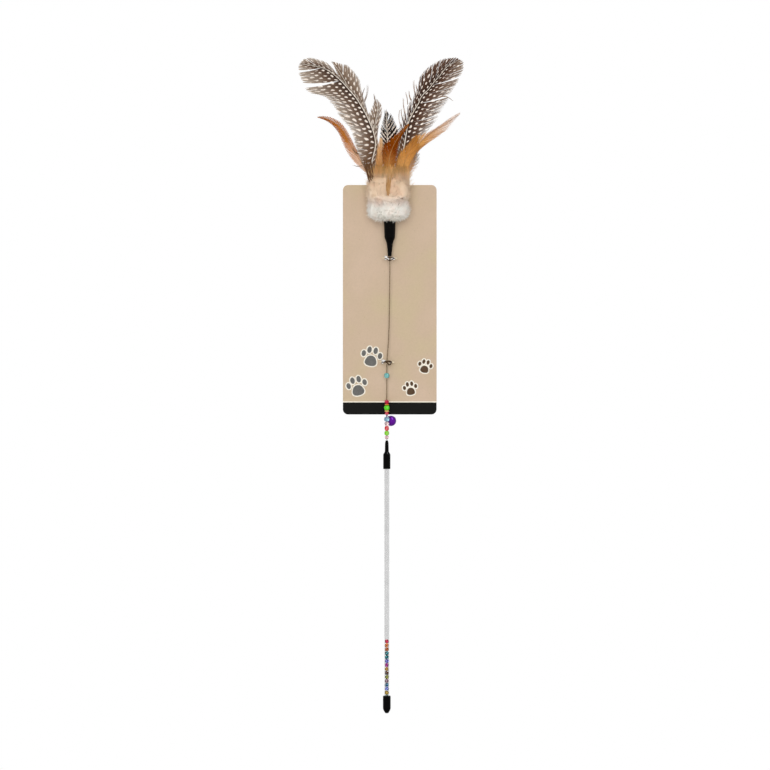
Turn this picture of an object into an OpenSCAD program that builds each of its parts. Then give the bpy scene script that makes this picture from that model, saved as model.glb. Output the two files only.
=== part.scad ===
// A cat teaser wand tied to its display card: a feather lure, a string with beads and a bell, and a rod.
// The origin is the centre of the card's peg hole, +Z is up and the front faces -Y. Lengths are in mm.

/* [Card] */
// Width of the card
card_w = 89; // [60:1:140]
// Height of the card
card_h = 218; // [180:1:300]
// Thickness of the card
card_t = 1; // [0.8:0.1:1.4]
// Radius of the card's corners
card_corner = 5; // [2:0.5:10]
// Diameter of the hole for the display peg
peg_hole_d = 8; // [5:0.5:9]
// Distance from the card's top edge down to the peg hole
peg_drop = 12; // [9:0.5:14]

/* [Ties] */
// Distance from the peg hole down to the upper tie
upper_tie_drop = 57.8; // [50:0.2:70]
// Height of the lower tie above the card's bottom edge
lower_tie_rise = 49.7; // [40:0.1:60]
// Diameter of the tie's wire
tie_wire_d = 0.9; // [0.6:0.1:1]
// Diameter of the loop that each tie makes through the card, at the middle of its wire
tie_loop_d = 10; // [9:0.5:12]
// How far the middle of each loop lies in front of the card's middle
tie_loop_front = 3; // [2.5:0.1:3.5]
// Diameter of the holes that a tie goes through
tie_hole_d = 2.4; // [2.2:0.1:3]
// Diameter of the twist in front
tie_twist_d = 1.9; // [1.6:0.1:2]
// Length of the twist in front
tie_twist_len = 3; // [2:0.2:4]
// Length of each loose end of a tie
tie_end_len = 6.5; // [3:0.5:9]

/* [String] */
// Diameter of the string
string_d = 1; // [0.6:0.1:1.1]
// Room around the string in a hole, on each side
string_play = 0.1; // [0.05:0.01:0.2]
// Length of string from the lower tie's bend to the bend at the rod
hang_len = 72.6; // [66:0.1:90]
// Distance of the hanging string in front of the card's middle
hang_front = 4.6; // [4:0.1:6]
// Distance of the hanging string left of the card's middle
hang_left = 2.8; // [0:0.1:6]

/* [Lure socket] */
// Diameter of the socket at its mouth
socket_d = 11.1; // [10:0.1:14]
// How much narrower the socket is where its shoulder starts
socket_taper = 0.9; // [0.5:0.1:1.4]
// Length of the socket's wide part
socket_body_len = 15.3; // [14:0.1:24]
// Length of the socket's shoulder
socket_shoulder_len = 5.8; // [4:0.1:8]
// Length of the socket's neck
socket_neck_len = 12.4; // [8:0.1:18]
// Diameter of the neck under the shoulder
socket_neck_d = 5.7; // [4:0.1:7]
// Diameter of the neck at its end
socket_end_d = 3.3; // [2.6:0.1:3.6]
// Wall of the socket around the quills
socket_wall = 1.2; // [0.8:0.1:1.6]
// Diameter of the knots that hold the string
knot_d = 3.2; // [2.6:0.1:3.6]

/* [Plume] */
// Height of the feathers above the down
plume_len = 112; // [80:1:150]
// Width of the spread feathers
plume_spread = 157; // [140:1:190]
// Depth over which the feathers are layered
plume_depth = 8.4; // [8.4:0.1:12]
// Thickness of a feather's vane
vane_t = 0.5; // [0.3:0.05:0.6]
// Diameter of a feather's quill
quill_d = 0.9; // [0.5:0.1:1]
// Diameter of the white down
white_down_d = 40.8; // [36:0.2:50]
// Height of the white down
white_down_len = 20; // [16:0.5:26]
// Diameter of the cream down
cream_down_d = 41.4; // [38:0.2:50]
// Height of the cream down
cream_down_len = 22.7; // [16:0.1:30]

/* [Beads] */
// Diameter of the widest bead
bead_d = 5.4; // [5:0.1:7]
// Height of the tallest bead
bead_h = 4.6; // [3.5:0.1:5]
// Gap between one bead and the next
bead_gap = 0.1; // [0.05:0.01:0.12]
// Distance from the lower tie's bend down to the middle of the turquoise bead
turquoise_drop = 11.8; // [10:0.1:14]

/* [Bell] */
// Diameter of the bell
bell_d = 10; // [8:0.5:11]
// Wall of the bell
bell_wall = 0.5; // [0.3:0.1:0.7]
// Width of the bell's slots
bell_slot_w = 1; // [0.6:0.1:1.4]
// Diameter of the ball in the bell
bell_ball_d = 2.6; // [1.6:0.2:3]
// Diameter of the wire of the bell's eye
bell_eye_wire_d = 0.5; // [0.4:0.05:0.6]
// Gap between the beads where the bell's eye hangs
bell_eye_gap = 1.9; // [1.9:0.05:2.4]

/* [Rod] */
// Length of the tube
tube_len = 241; // [180:1:400]
// Outer diameter of the tube
tube_d = 5; // [4.6:0.1:6.4]
// Wall of the tube
tube_wall = 0.5; // [0.3:0.05:0.6]
// Length of the tube inside the ferrule
ferrule_grip = 12; // [8:0.5:12]
// Length of the ferrule's wide part
ferrule_body_len = 13.2; // [12.8:0.1:20]
// Length of the ferrule's shoulder
ferrule_shoulder_len = 3.6; // [3:0.1:6]
// Length of the ferrule's neck
ferrule_neck_len = 10.4; // [8:0.1:16]
// Diameter of the ferrule's neck above the shoulder
ferrule_neck_d = 3.9; // [3:0.1:4.5]
// Diameter of the ferrule's tip
ferrule_tip_d = 2.1; // [1.9:0.1:2.1]
// Wall of the ferrule and of the end cap around the tube
sleeve_wall = 0.95; // [0.8:0.05:1.4]
// Length of the end cap
cap_len = 16.6; // [15.5:0.1:26]
// Extra wall of the end cap over the ferrule's
cap_extra = 0.25; // [0:0.05:0.6]
// Length of the tube inside the end cap
cap_grip = 14; // [10:0.5:14]
// Length of the end cap's rounded nose
cap_nose_len = 3.2; // [2:0.1:4]

/* [Loose fill] */
// Number of loose beads in the tube
fill_count = 18; // [6:1:18]
// Length of each loose bead
fill_len = 3.6; // [2.5:0.1:3.6]
// Gap between two loose beads
fill_gap = 0.15; // [0.05:0.05:0.3]
// Room between a loose bead and the tube, on each side
fill_play = 0.25; // [0.15:0.05:0.4]

/* [Hidden] */
// Gap between pieces that are pushed or glued together
seat = 0.05;
// Gap between soft pieces and their neighbours
soft_gap = 0.3;
// Gap on each side of a bend in the string
bend_gap = 0.45;
// Gap between the rod's bend and the ferrule
rod_bend_gap = 0.6;
// How far a cut runs past a face
overrun = 1;

// The card's edges, and the heights of both ties
card_top_z = peg_drop;
card_bottom_z = peg_drop - card_h;
upper_tie_z = -upper_tie_drop;
lower_tie_z = card_bottom_z + lower_tie_rise;

// The places where the string bends: under the socket, under the lower tie and above the rod
lure_y = -card_t / 2 - socket_d / 2 - 3 * seat;
lure_bend_z = upper_tie_z + tie_twist_d / 2 + soft_gap;
hang_x = -hang_left;
hang_y = -hang_front;
hang_z = lower_tie_z - tie_wire_d / 2 - bend_gap - seat;
rod_bend_z = hang_z - hang_len;
string_hole_d = string_d + 2 * string_play;

// The socket's heights
socket_end_z = lure_bend_z + bend_gap;
socket_shoulder_z = socket_end_z + socket_neck_len;
socket_body_z = socket_shoulder_z + socket_shoulder_len;
socket_top_z = socket_body_z + socket_body_len;
socket_bore_d = socket_d - 2 * socket_wall;
socket_low_d = socket_d - socket_taper;
plug_base_z = socket_body_z + socket_wall / 2;
plug_top_z = socket_top_z - 2 * socket_wall;
lure_knot_z = plug_base_z - knot_d / 2 - 4 * seat;

// The down's heights, and where the feathers start
white_base_z = socket_top_z + soft_gap;
cream_base_z = white_base_z + white_down_len + soft_gap;
plume_base_z = cream_base_z + cream_down_len;
down_back_y = -card_t / 2 - soft_gap;
// Width of the down at its foot and at its head, and of the white down's opening at its head
white_low_share = 0.7;
white_high_share = 0.9;
cream_low_share = 0.9;
cream_high_share = 0.8;
funnel_share = 0.64;

// The ferrule's heights
ferrule_top_z = rod_bend_z - rod_bend_gap;
ferrule_neck_z = ferrule_top_z - ferrule_neck_len;
ferrule_body_z = ferrule_neck_z - ferrule_shoulder_len;
ferrule_base_z = ferrule_body_z - ferrule_body_len;
ferrule_d = tube_d + 2 * sleeve_wall;
rod_knot_d = tube_d / 2;
rod_knot_z = ferrule_body_z - rod_knot_d / 2;
// How far the nose of the end cap draws in, as a share of its length
nose_share = 0.7;

// The tube's and the end cap's heights
tube_top_z = ferrule_base_z + ferrule_grip - seat;
tube_base_z = tube_top_z - tube_len;
tube_bore_d = tube_d - 2 * tube_wall;
cap_top_z = tube_base_z + cap_grip;
cap_base_z = cap_top_z - cap_len;
cap_d = ferrule_d + 2 * cap_extra;
fill_d = tube_bore_d - 2 * fill_play;
fill_base_z = tube_base_z + seat;

// The beads from the top down: name, colour, and diameter and height as shares of the largest bead's
bead_shares = [
    ["bead_crimson_top", "crimson", 0.78, 0.83],
    ["bead_orange_ring", "darkorange", 0.78, 0.26],
    ["bead_lime_top", "limegreen", 1, 1],
    ["bead_cream", "burlywood", 0.8, 0.33],
    ["bead_crimson_low", "crimson", 0.72, 0.59],
    ["bead_pale_blue", "lightblue", 0.98, 0.98],
    ["bead_pink_clear", "mistyrose", 0.83, 0.87],
    ["bead_red", "red", 0.78, 0.98],
    ["bead_lime_low", "yellowgreen", 0.87, 0.93],
    ["bead_pale_pink", "pink", 0.69, 0.76]
];
bead_count = len(bead_shares);
// Number of beads below the bell
low_bead_count = 5;
// Where a bead's round side starts, as an angle from its middle
bead_edge_angle = 65;
bead_step_angle = bead_edge_angle / 5;
turquoise_share = 0.94;
turquoise_height_share = 1.05;

// Height of a bead in the list, and of the bottom of the beads from one in the list to the last
function bead_height(i) = bead_h * bead_shares[i][3];
function bead_step(i) = bead_height(i) + (i == bead_count - low_bead_count ? bell_eye_gap : bead_gap);
function bead_base(i) = i == bead_count - 1 ? rod_bend_z + bend_gap : bead_base(i + 1) + bead_step(i + 1);

// The bell hangs behind the string and to its right, clear of the bead under its eye
bell_turn = 59;
bell_droop = 32;
bell_bead = bead_count - low_bead_count;
bell_eye_z = bead_base(bell_bead) + bead_height(bell_bead) + bell_eye_gap / 2;
bell_out = bell_d / 2 + bead_d * bead_shares[bell_bead][2] / 2 + 2 * seat;
bell_reach = bell_out / cos(bell_droop);
bell_eye_d = string_hole_d + 2 * seat + bell_eye_wire_d;
bell_drop = bell_reach * sin(bell_droop);
// How far the bell's slots reach up from its bottom, as a share of its diameter
slot_share = 0.22;

// The feathers: name, colour, then shares of the plume's spread, height and depth:
// base x, control x and z, tip x and z, left vane, right vane, and depth from the back
feather_shares = [
    ["guinea_feather_left", "dimgray", -0.125, -0.019, 0.695, -0.54, 0.939, 0.134, 0.04, 0.36],
    ["guinea_feather_behind", "gray", -0.076, -0.09, 0.707, -0.349, 0.965, 0.055, 0.05, 0],
    ["guinea_feather_small", "dimgray", -0.051, -0.064, 0.35, -0.091, 0.689, 0.03, 0.03, 0.24],
    ["guinea_feather_centre", "saddlebrown", -0.01, -0.008, 0.305, -0.019, 0.558, 0.054, 0.054, 0.12],
    ["guinea_feather_right", "gray", 0.04, 0.07, 0.641, 0.446, 0.966, 0.057, 0.108, 0.48],
    ["hackle_left", "chocolate", -0.108, -0.242, 0.386, -0.438, 0.494, 0.024, 0.024, 0.6],
    ["hackle_centre", "sienna", -0.01, 0, 0.216, 0.111, 0.434, 0.045, 0.045, 0.95],
    ["hackle_right", "peru", 0.057, 0.089, 0.17, 0.127, 0.35, 0.05, 0.05, 0.83],
    ["hackle_strip", "sandybrown", -0.057, -0.057, 0.154, -0.051, 0.314, 0.029, 0.029, 0.71],
    ["hackle_far_right", "peru", 0.108, 0.217, 0.332, 0.424, 0.511, 0.035, 0.035, 0.6],
    ["down_tuft", "rosybrown", 0.1, 0.153, 0.1, 0.172, 0.18, 0.02, 0.02, 0.9]
];
// Stations along a vane, sides of a quill, and flat sides of its passage through the cream down
vane_stations = 14;
quill_sides = 24;
passage_sides = 8;
// How close together the quills stand on the plug, as shares of their places in the plume
gather_share = 0.15;
gather_depth_share = 0.7;
// How the width of a vane grows from its base and closes at its tip
vane_grow_share = 0.75;
vane_close_share = 0.6;

// Colours of the loose fill, from the bottom
fill_colours = [
    "dimgray", "teal", "purple", "darkseagreen", "goldenrod", "lightsteelblue", "steelblue", "rosybrown",
    "olive", "saddlebrown", "gray", "tan", "mediumvioletred", "slateblue", "cadetblue", "chocolate",
    "darkmagenta", "firebrick"
];

// Route of the string from the socket to the lower tie
upper_route = [
    [0, -6.2, -57.6], [0.1, -6.1, -66], [0, -6, -80], [-0.2, -5.8, -95], [-0.4, -5.6, -110],
    [-0.7, -5.3, -124], [-1.2, -5, -136], [-2, -4.8, -147], [-2.8, -4.6, -156.8]
];
// Route of the string from the lower tie to the rod, which hangs plumb
lower_route = [[-2.8, -4.6, -157.7], [-2.8, -4.6, -180], [-2.8, -4.6, -205], [-2.8, -4.6, -229.8]];
// Sides of the string, and rings in one stretch of its route
string_sides = 8;
upper_rings = 5;
lower_rings = 9;

function fill_name(i) = str("fill_bead_", i);

// Points of a smooth curve through a route, with a number of rings to each stretch
function bend(a, b, c, d, t) = (
    2 * b + (c - a) * t + (2 * a - 5 * b + 4 * c - d) * t * t + (3 * b - a - 3 * c + d) * t * t * t
) / 2;
function route_point(route, i) = route[max(0, min(len(route) - 1, i))];
function smooth_route(route, rings) = concat(
    [for (i = [0:len(route) - 2]) for (k = [0:rings - 1]) bend(
        route_point(route, i - 1), route[i], route[i + 1], route_point(route, i + 2), k / rings
    )],
    [route[len(route) - 1]]
);

// A tube with flat level ends swept down a route
module swept_string(route, rings) {
    points = smooth_route(route, rings);
    sides = string_sides;
    count = len(points);
    ring = [for (k = [0:sides - 1]) string_d / 2 * [cos(360 * k / sides), sin(360 * k / sides), 0]];
    sides_low = [for (i = [0:count - 2]) for (k = [0:sides - 1])
        [i * sides + k, (i + 1) * sides + k, (i + 1) * sides + (k + 1) % sides]];
    sides_high = [for (i = [0:count - 2]) for (k = [0:sides - 1])
        [i * sides + k, (i + 1) * sides + (k + 1) % sides, i * sides + (k + 1) % sides]];
    top = [for (k = [1:sides - 2]) [0, k, k + 1]];
    base = (count - 1) * sides;
    bottom = [for (k = [1:sides - 2]) [base, base + k + 1, base + k]];
    polyhedron(
        points = [for (p = points) for (r = ring) p + r],
        faces = concat(sides_low, sides_high, top, bottom)
    );
}

// Card with round corners, the peg hole and two holes for each tie
module card() {
    color("tan") difference() {
        rotate([90, 0, 0]) linear_extrude(card_t, center = true) card_outline();
        rotate([90, 0, 0]) cylinder(d = peg_hole_d, h = card_t + 2 * overrun, center = true, $fn = 64);
        tie_holes(0, upper_tie_z);
        tie_holes(hang_x, lower_tie_z);
    }
}

module card_outline() {
    translate([-card_w / 2 + card_corner, card_bottom_z])
        square([card_w - 2 * card_corner, card_h]);
    translate([-card_w / 2, card_bottom_z + card_corner])
        square([card_w, card_h - 2 * card_corner]);
    for (side = [-1, 1]) for (z = [card_bottom_z + card_corner, card_top_z - card_corner])
        translate([side * (card_w / 2 - card_corner), z]) circle(card_corner, $fn = 64);
}

// The loop of a tie meets the card's middle this far from its own middle
tie_half = sqrt(tie_loop_d * tie_loop_d / 4 - tie_loop_front * tie_loop_front);

module tie_holes(x, z) {
    for (side = [-1, 1]) translate([x + side * tie_half, 0, z])
        rotate([90, 0, 0]) cylinder(d = tie_hole_d, h = card_t + 2 * overrun, center = true, $fn = 32);
}

// Wire tie: a level loop through the card and around the string, twisted in front, with two loose ends
module tie(x, z) {
    twist_y = -tie_loop_front - tie_loop_d / 2;
    color("gainsboro") {
        translate([x, -tie_loop_front, z]) rotate_extrude($fn = 64)
            translate([tie_loop_d / 2, 0]) circle(d = tie_wire_d, $fn = 24);
        translate([x, twist_y, z]) rotate([0, 90, 0])
            cylinder(d = tie_twist_d, h = tie_twist_len, center = true, $fn = 32);
        translate([x, twist_y, z]) rotate([0, 90, 0])
            cylinder(d = tie_wire_d, h = 2 * tie_end_len, center = true, $fn = 24);
    }
}

module upper_tie() {
    tie(0, upper_tie_z);
}

module lower_tie() {
    tie(hang_x, lower_tie_z);
}

module upper_string() {
    color("tan") swept_string(upper_route, upper_rings);
}

module lower_string() {
    color("tan") swept_string(lower_route, lower_rings);
}

// Vinyl socket of the lure, bored for the quills, the knot and the string
module lure_socket() {
    string_r = string_hole_d / 2;
    bore_r = socket_bore_d / 2;
    knot_r = knot_d / 2 + seat;
    knot_floor_z = lure_knot_z - knot_r;
    color("black") translate([0, lure_y, 0]) rotate_extrude($fn = 96) polygon([
        [string_r, socket_end_z], [socket_end_d / 2, socket_end_z],
        [socket_neck_d / 2, socket_shoulder_z], [socket_low_d / 2, socket_body_z],
        [socket_d / 2, socket_top_z], [bore_r, socket_top_z], [bore_r, plug_base_z],
        [knot_r, plug_base_z], [knot_r, knot_floor_z], [string_r, knot_floor_z]
    ]);
}

// Plug of glue on which the cut quills stand
module quill_plug() {
    color("ivory") translate([0, lure_y, plug_base_z + seat])
        cylinder(d = socket_bore_d - 2 * seat, h = plug_top_z - plug_base_z - seat, $fn = 64);
}

// Knot in the socket, with the string that goes down through the neck
module lure_knot() {
    color("tan") translate([0, lure_y, 0]) {
        translate([0, 0, lure_knot_z]) sphere(d = knot_d, $fn = 48);
        translate([0, 0, socket_end_z]) cylinder(d = string_d, h = lure_knot_z - socket_end_z, $fn = 32);
    }
}

// A ball of down about the quills, flat at the back where it lies on the card
module down_ball(diameter, base_z, height, low_share, high_share) {
    steps = 12;
    half = diameter / 2;
    intersection() {
        translate([-hang_left / 2, lure_y, base_z]) rotate_extrude($fn = 64) polygon(concat(
            [[0, 0]],
            [for (i = [0:steps]) let (t = i / steps)
                [half * (low_share + (high_share - low_share) * t + (1 - max(low_share, high_share))
                    * sin(180 * t)), height * t]],
            [[0, height]]
        ));
        translate([-diameter, down_back_y - 2 * diameter, base_z - overrun])
            cube([2 * diameter, 2 * diameter, height + 2 * overrun]);
    }
}

// White down, open in the middle where the quills spread
module white_down() {
    funnel_low = socket_bore_d + soft_gap;
    funnel_high = white_down_d * funnel_share;
    color("white") difference() {
        down_ball(white_down_d, white_base_z, white_down_len, white_low_share, white_high_share);
        translate([0, lure_y, white_base_z - overrun]) cylinder(
            d1 = funnel_low, d2 = funnel_high, h = white_down_len + 2 * overrun, $fn = 64);
    }
}

// Cream down, with a passage for each quill
module cream_down() {
    color("wheat") difference() {
        down_ball(cream_down_d, cream_base_z, cream_down_len - soft_gap, cream_low_share, cream_high_share);
        for (f = feather_shares) quill(f, quill_d + 2 * soft_gap, passage_sides, overrun);
    }
}

// Places of a feather in the plume
function feather_y(f) = -card_t / 2 - 5 * soft_gap - plume_depth * f[9];
function feather_base(f) = [plume_spread * f[2], plume_base_z];
function feather_mid(f) = [plume_spread * f[3], plume_base_z + plume_len * f[4]];
function feather_tip(f) = [plume_spread * f[5], plume_base_z + plume_len * f[6]];
function shaft_point(f, t) =
    (1 - t) * (1 - t) * feather_base(f) + 2 * t * (1 - t) * feather_mid(f) + t * t * feather_tip(f);
function shaft_way(f, t) =
    (1 - t) * (feather_mid(f) - feather_base(f)) + t * (feather_tip(f) - feather_mid(f));
function shaft_left(f, t) = let (d = shaft_way(f, t)) [-d[1], d[0]] / norm(d);
function vane_share(t) = pow(sin(180 * pow(t, vane_grow_share)), vane_close_share);
function vane_edge(f, t, side) =
    shaft_point(f, t) + shaft_left(f, t) * plume_spread * vane_share(t) * (side > 0 ? f[7] : -f[8]);

// Quill of a feather, from the plug to the foot of its vane
module quill(f, diameter, sides, extra) {
    foot_y = lure_y + (feather_y(f) - lure_y) * gather_depth_share;
    foot = [plume_spread * f[2] * gather_share, foot_y, plug_top_z];
    head_2d = shaft_point(f, 1 / vane_stations);
    head = [head_2d[0], feather_y(f), head_2d[1]];
    way = head - foot;
    flat = norm([way[0], way[1]]);
    translate(foot) rotate([0, atan2(flat, way[2]), atan2(way[1], way[0])])
        cylinder(d = diameter, h = norm(way) + extra, $fn = sides);
}

// A feather: its quill, and a flat vane about a curved shaft
module feather(f) {
    last = vane_stations;
    color(f[1]) {
        intersection() {
            quill(f, quill_d, quill_sides, 0);
            translate([-plume_spread, lure_y - plume_spread, plug_top_z + seat])
                cube([2 * plume_spread, 2 * plume_spread, plume_len + plume_base_z - plug_top_z]);
        }
        translate([0, feather_y(f), 0]) rotate([90, 0, 0])
            linear_extrude(vane_t, center = true) polygon(concat(
                [shaft_point(f, 0)],
                [for (i = [1:last - 1]) vane_edge(f, i / last, 1)],
                [shaft_point(f, 1)],
                [for (i = [1:last - 1]) vane_edge(f, 1 - i / last, -1)]
            ));
    }
}

// A round bead with a hole for the string, standing on a height
module bead(diameter, height, base_z, colour) {
    flat = sin(bead_edge_angle);
    color(colour) translate([hang_x, hang_y, base_z + height / 2]) rotate_extrude($fn = 48) polygon(concat(
        [[string_hole_d / 2, -height / 2]],
        [for (a = [-bead_edge_angle:bead_step_angle:bead_edge_angle])
            [diameter / 2 * cos(a), height / 2 * sin(a) / flat]],
        [[string_hole_d / 2, height / 2]]
    ));
}

module stack_bead(i) {
    bead(bead_d * bead_shares[i][2], bead_height(i), bead_base(i), bead_shares[i][1]);
}

module turquoise_bead() {
    height = bead_h * turquoise_height_share;
    bead(bead_d * turquoise_share, height, hang_z - turquoise_drop - height / 2, "turquoise");
}

// Puts a piece at the bell's middle, with its eye on +Z
module at_bell() {
    translate([hang_x, hang_y, bell_eye_z]) rotate([0, bell_droop - 90, bell_turn])
        rotate([0, 0, 180]) translate([0, 0, -bell_reach]) children();
}

module bell_half_profile() {
    difference() {
        circle(d = bell_d, $fn = 96);
        circle(d = bell_d - 2 * bell_wall, $fn = 96);
        translate([-bell_d, -bell_d]) square([bell_d, 2 * bell_d]);
        translate([-bell_d, -2 * bell_d]) square([2 * bell_d, 2 * bell_d]);
    }
}

// Upper half of the bell, with the wire eye that the string goes through
module bell_upper_shell() {
    leg = bell_reach - bell_d / 2 + bell_wall / 2;
    color("indigo") at_bell() {
        translate([0, 0, seat / 2]) rotate_extrude($fn = 96) bell_half_profile();
        for (side = [-1, 1]) translate([0, side * bell_eye_d / 2, bell_reach - leg])
            cylinder(d = bell_eye_wire_d, h = leg, $fn = 24);
        translate([0, 0, bell_reach]) rotate([90, 0, 90]) rotate_extrude(angle = 180, $fn = 48)
            translate([bell_eye_d / 2, 0]) circle(d = bell_eye_wire_d, $fn = 24);
    }
}

// Lower half of the bell, with two crossed slots
module bell_lower_shell() {
    color("indigo") at_bell() difference() {
        translate([0, 0, -seat / 2]) rotate([180, 0, 0]) rotate_extrude($fn = 96) bell_half_profile();
        for (turn = [0, 90]) rotate([0, 0, turn])
            translate([-bell_d / 2, -bell_slot_w / 2, -bell_d / 2 - overrun])
                cube([bell_d, bell_slot_w, overrun + bell_d * slot_share]);
    }
}

// Steel ball, loose at the bottom of the bell
module bell_ball() {
    way = bell_out * [cos(bell_turn), sin(bell_turn)];
    drop = bell_drop + bell_d / 2 - bell_wall - bell_ball_d / 2 - 2 * seat;
    color("silver") translate([hang_x + way[0], hang_y + way[1], bell_eye_z - drop])
        sphere(d = bell_ball_d, $fn = 48);
}

// Vinyl ferrule: a soft neck for the string and a sleeve over the tube
module rod_ferrule() {
    string_r = string_hole_d / 2;
    grip_r = tube_d / 2 + seat;
    grip_z = ferrule_base_z + ferrule_grip;
    room_r = tube_bore_d / 2;
    color("black") translate([hang_x, hang_y, 0]) rotate_extrude($fn = 96) polygon([
        [string_r, ferrule_top_z], [string_r, rod_knot_z + rod_knot_d / 2 + seat],
        [room_r, rod_knot_z + rod_knot_d / 2 + seat], [room_r, grip_z], [grip_r, grip_z],
        [grip_r, ferrule_base_z], [ferrule_d / 2, ferrule_base_z], [ferrule_d / 2, ferrule_body_z],
        [ferrule_neck_d / 2, ferrule_neck_z], [ferrule_tip_d / 2, ferrule_top_z]
    ]);
}

// Knot under the ferrule's neck, with the string that goes up through it
module rod_knot() {
    color("tan") translate([hang_x, hang_y, 0]) {
        translate([0, 0, rod_knot_z]) sphere(d = rod_knot_d, $fn = 48);
        translate([0, 0, rod_knot_z])
            cylinder(d = string_d, h = ferrule_top_z - rod_knot_z, $fn = 32);
    }
}

// Clear tube
module rod_tube() {
    color("whitesmoke", 0.4) translate([hang_x, hang_y, tube_base_z]) difference() {
        cylinder(d = tube_d, h = tube_len, $fn = 96);
        translate([0, 0, -overrun]) cylinder(d = tube_bore_d, h = tube_len + 2 * overrun, $fn = 96);
    }
}

// End cap pushed over the bottom of the tube
module end_cap() {
    grip_r = tube_d / 2 + seat;
    nose_z = cap_base_z + cap_nose_len;
    nose_flat = cap_d / 2 - cap_nose_len * nose_share;
    arc_steps = 6;
    color("black") translate([hang_x, hang_y, 0]) rotate_extrude($fn = 96) polygon(concat(
        [[0, cap_base_z]],
        [for (i = [0:arc_steps]) let (a = 90 * i / arc_steps)
            [nose_flat + (cap_d / 2 - nose_flat) * sin(a), nose_z - cap_nose_len * cos(a)]],
        [[cap_d / 2, cap_top_z], [grip_r, cap_top_z], [grip_r, tube_base_z - seat], [0, tube_base_z - seat]]
    ));
}

// One loose bead of the fill
module fill_bead(i) {
    z = fill_base_z + (i - 1) * (fill_len + fill_gap);
    edge = fill_d / 8;
    color(fill_colours[(i - 1) % len(fill_colours)]) translate([hang_x, hang_y, z])
        rotate_extrude($fn = 32) polygon([
            [0, 0], [fill_d / 2 - edge, 0], [fill_d / 2, edge], [fill_d / 2, fill_len - edge],
            [fill_d / 2 - edge, fill_len], [0, fill_len]
        ]);
}

card();
upper_tie();
lower_tie();
upper_string();
lower_string();
lure_socket();
quill_plug();
lure_knot();
white_down();
cream_down();
for (f = feather_shares) feather(f);
turquoise_bead();
for (i = [0:bead_count - 1]) stack_bead(i);
bell_upper_shell();
bell_lower_shell();
bell_ball();
rod_ferrule();
rod_knot();
rod_tube();
end_cap();
for (i = [1:fill_count]) fill_bead(i);
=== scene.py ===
import math

import bmesh
import bpy
import numpy as np
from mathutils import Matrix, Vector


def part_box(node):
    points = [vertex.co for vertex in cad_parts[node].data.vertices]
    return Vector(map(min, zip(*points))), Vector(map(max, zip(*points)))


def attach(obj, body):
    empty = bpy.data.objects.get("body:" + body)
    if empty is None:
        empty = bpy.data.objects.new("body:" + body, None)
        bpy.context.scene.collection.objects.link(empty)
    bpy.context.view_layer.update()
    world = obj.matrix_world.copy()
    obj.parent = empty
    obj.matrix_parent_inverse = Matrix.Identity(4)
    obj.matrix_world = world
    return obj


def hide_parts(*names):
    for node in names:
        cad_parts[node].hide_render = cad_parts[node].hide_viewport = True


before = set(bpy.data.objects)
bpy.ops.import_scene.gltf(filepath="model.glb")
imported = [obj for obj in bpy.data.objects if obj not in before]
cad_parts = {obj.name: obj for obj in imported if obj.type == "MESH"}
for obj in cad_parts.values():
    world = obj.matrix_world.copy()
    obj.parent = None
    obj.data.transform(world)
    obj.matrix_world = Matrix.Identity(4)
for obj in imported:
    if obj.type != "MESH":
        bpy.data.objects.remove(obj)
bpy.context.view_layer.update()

# Camera: it looks level at the wand from the front, as for a catalogue picture of a thing hung on
# a white wall. The picture is 770 pixels square and 0.95 mm to a pixel at the card.
PICTURE_PX = 770
MM_PER_PX = 0.95
MM = 0.001
CAMERA_DISTANCE = 3.0
SENSOR_MM = 36.0
VIEW_CENTRE_MM = (-4.5, -178.0)

lens = bpy.data.cameras.new("camera")
lens.sensor_width = SENSOR_MM
lens.lens = SENSOR_MM * CAMERA_DISTANCE / (PICTURE_PX * MM_PER_PX * MM)
camera = bpy.data.objects.new("camera", lens)
camera.location = (VIEW_CENTRE_MM[0] * MM, -CAMERA_DISTANCE, VIEW_CENTRE_MM[1] * MM)
camera.rotation_euler = (math.pi / 2, 0, 0)
bpy.context.scene.collection.objects.link(camera)
bpy.context.scene.camera = camera
bpy.context.scene.view_settings.view_transform = "Standard"


# Strings: thin brown two-ply polyester cord. One run goes from the lure's socket to the lower tie,
# the other hangs plumb from there to the rod, through the beads and the bell's eye.
def linear(code):
    """sRGB hex to linear: s / 12.92 up to 0.04045, and ((s + 0.055) / 1.055) ** 2.4 above it."""
    s = np.array([int(code[i:i + 2], 16) for i in (0, 2, 4)]) / 255
    low, high = s / 12.92, ((s + 0.055) / 1.055) ** 2.4
    return (*np.where(s <= 0.04045, low, high).tolist(), 1.0)


def add(tree, kind, inputs=(), stops=(), **settings):
    """Adds a shader node, sets its properties and, on a colour ramp, its (place, hex) stops, and sets or
    links its inputs. A node stands for its first output."""
    node = tree.nodes.new("ShaderNode" + kind)
    for name, value in settings.items():
        setattr(node, name, value)
    for number, (place, code) in enumerate(stops):
        elements = node.color_ramp.elements
        element = elements[number] if number < len(elements) else elements.new(1.0)
        element.position, element.color = place, linear(code)
    pairs = inputs.items() if isinstance(inputs, dict) else enumerate(inputs)
    for key, value in pairs:
        if isinstance(value, bpy.types.Node):
            value = value.outputs[0]
        if isinstance(value, bpy.types.NodeSocket):
            tree.links.new(value, node.inputs[key])
        else:
            node.inputs[key].default_value = value
    return node


def finish(name, **sockets):
    """A new material: its node tree and its Principled shader, with plain values on their own sockets."""
    material = bpy.data.materials.new(name)
    material.use_nodes = True
    shader = material.node_tree.nodes["Principled BSDF"]
    for socket, value in sockets.items():
        shader.inputs[socket.replace("_", " ")].default_value = value
    return material, material.node_tree, shader


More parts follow.
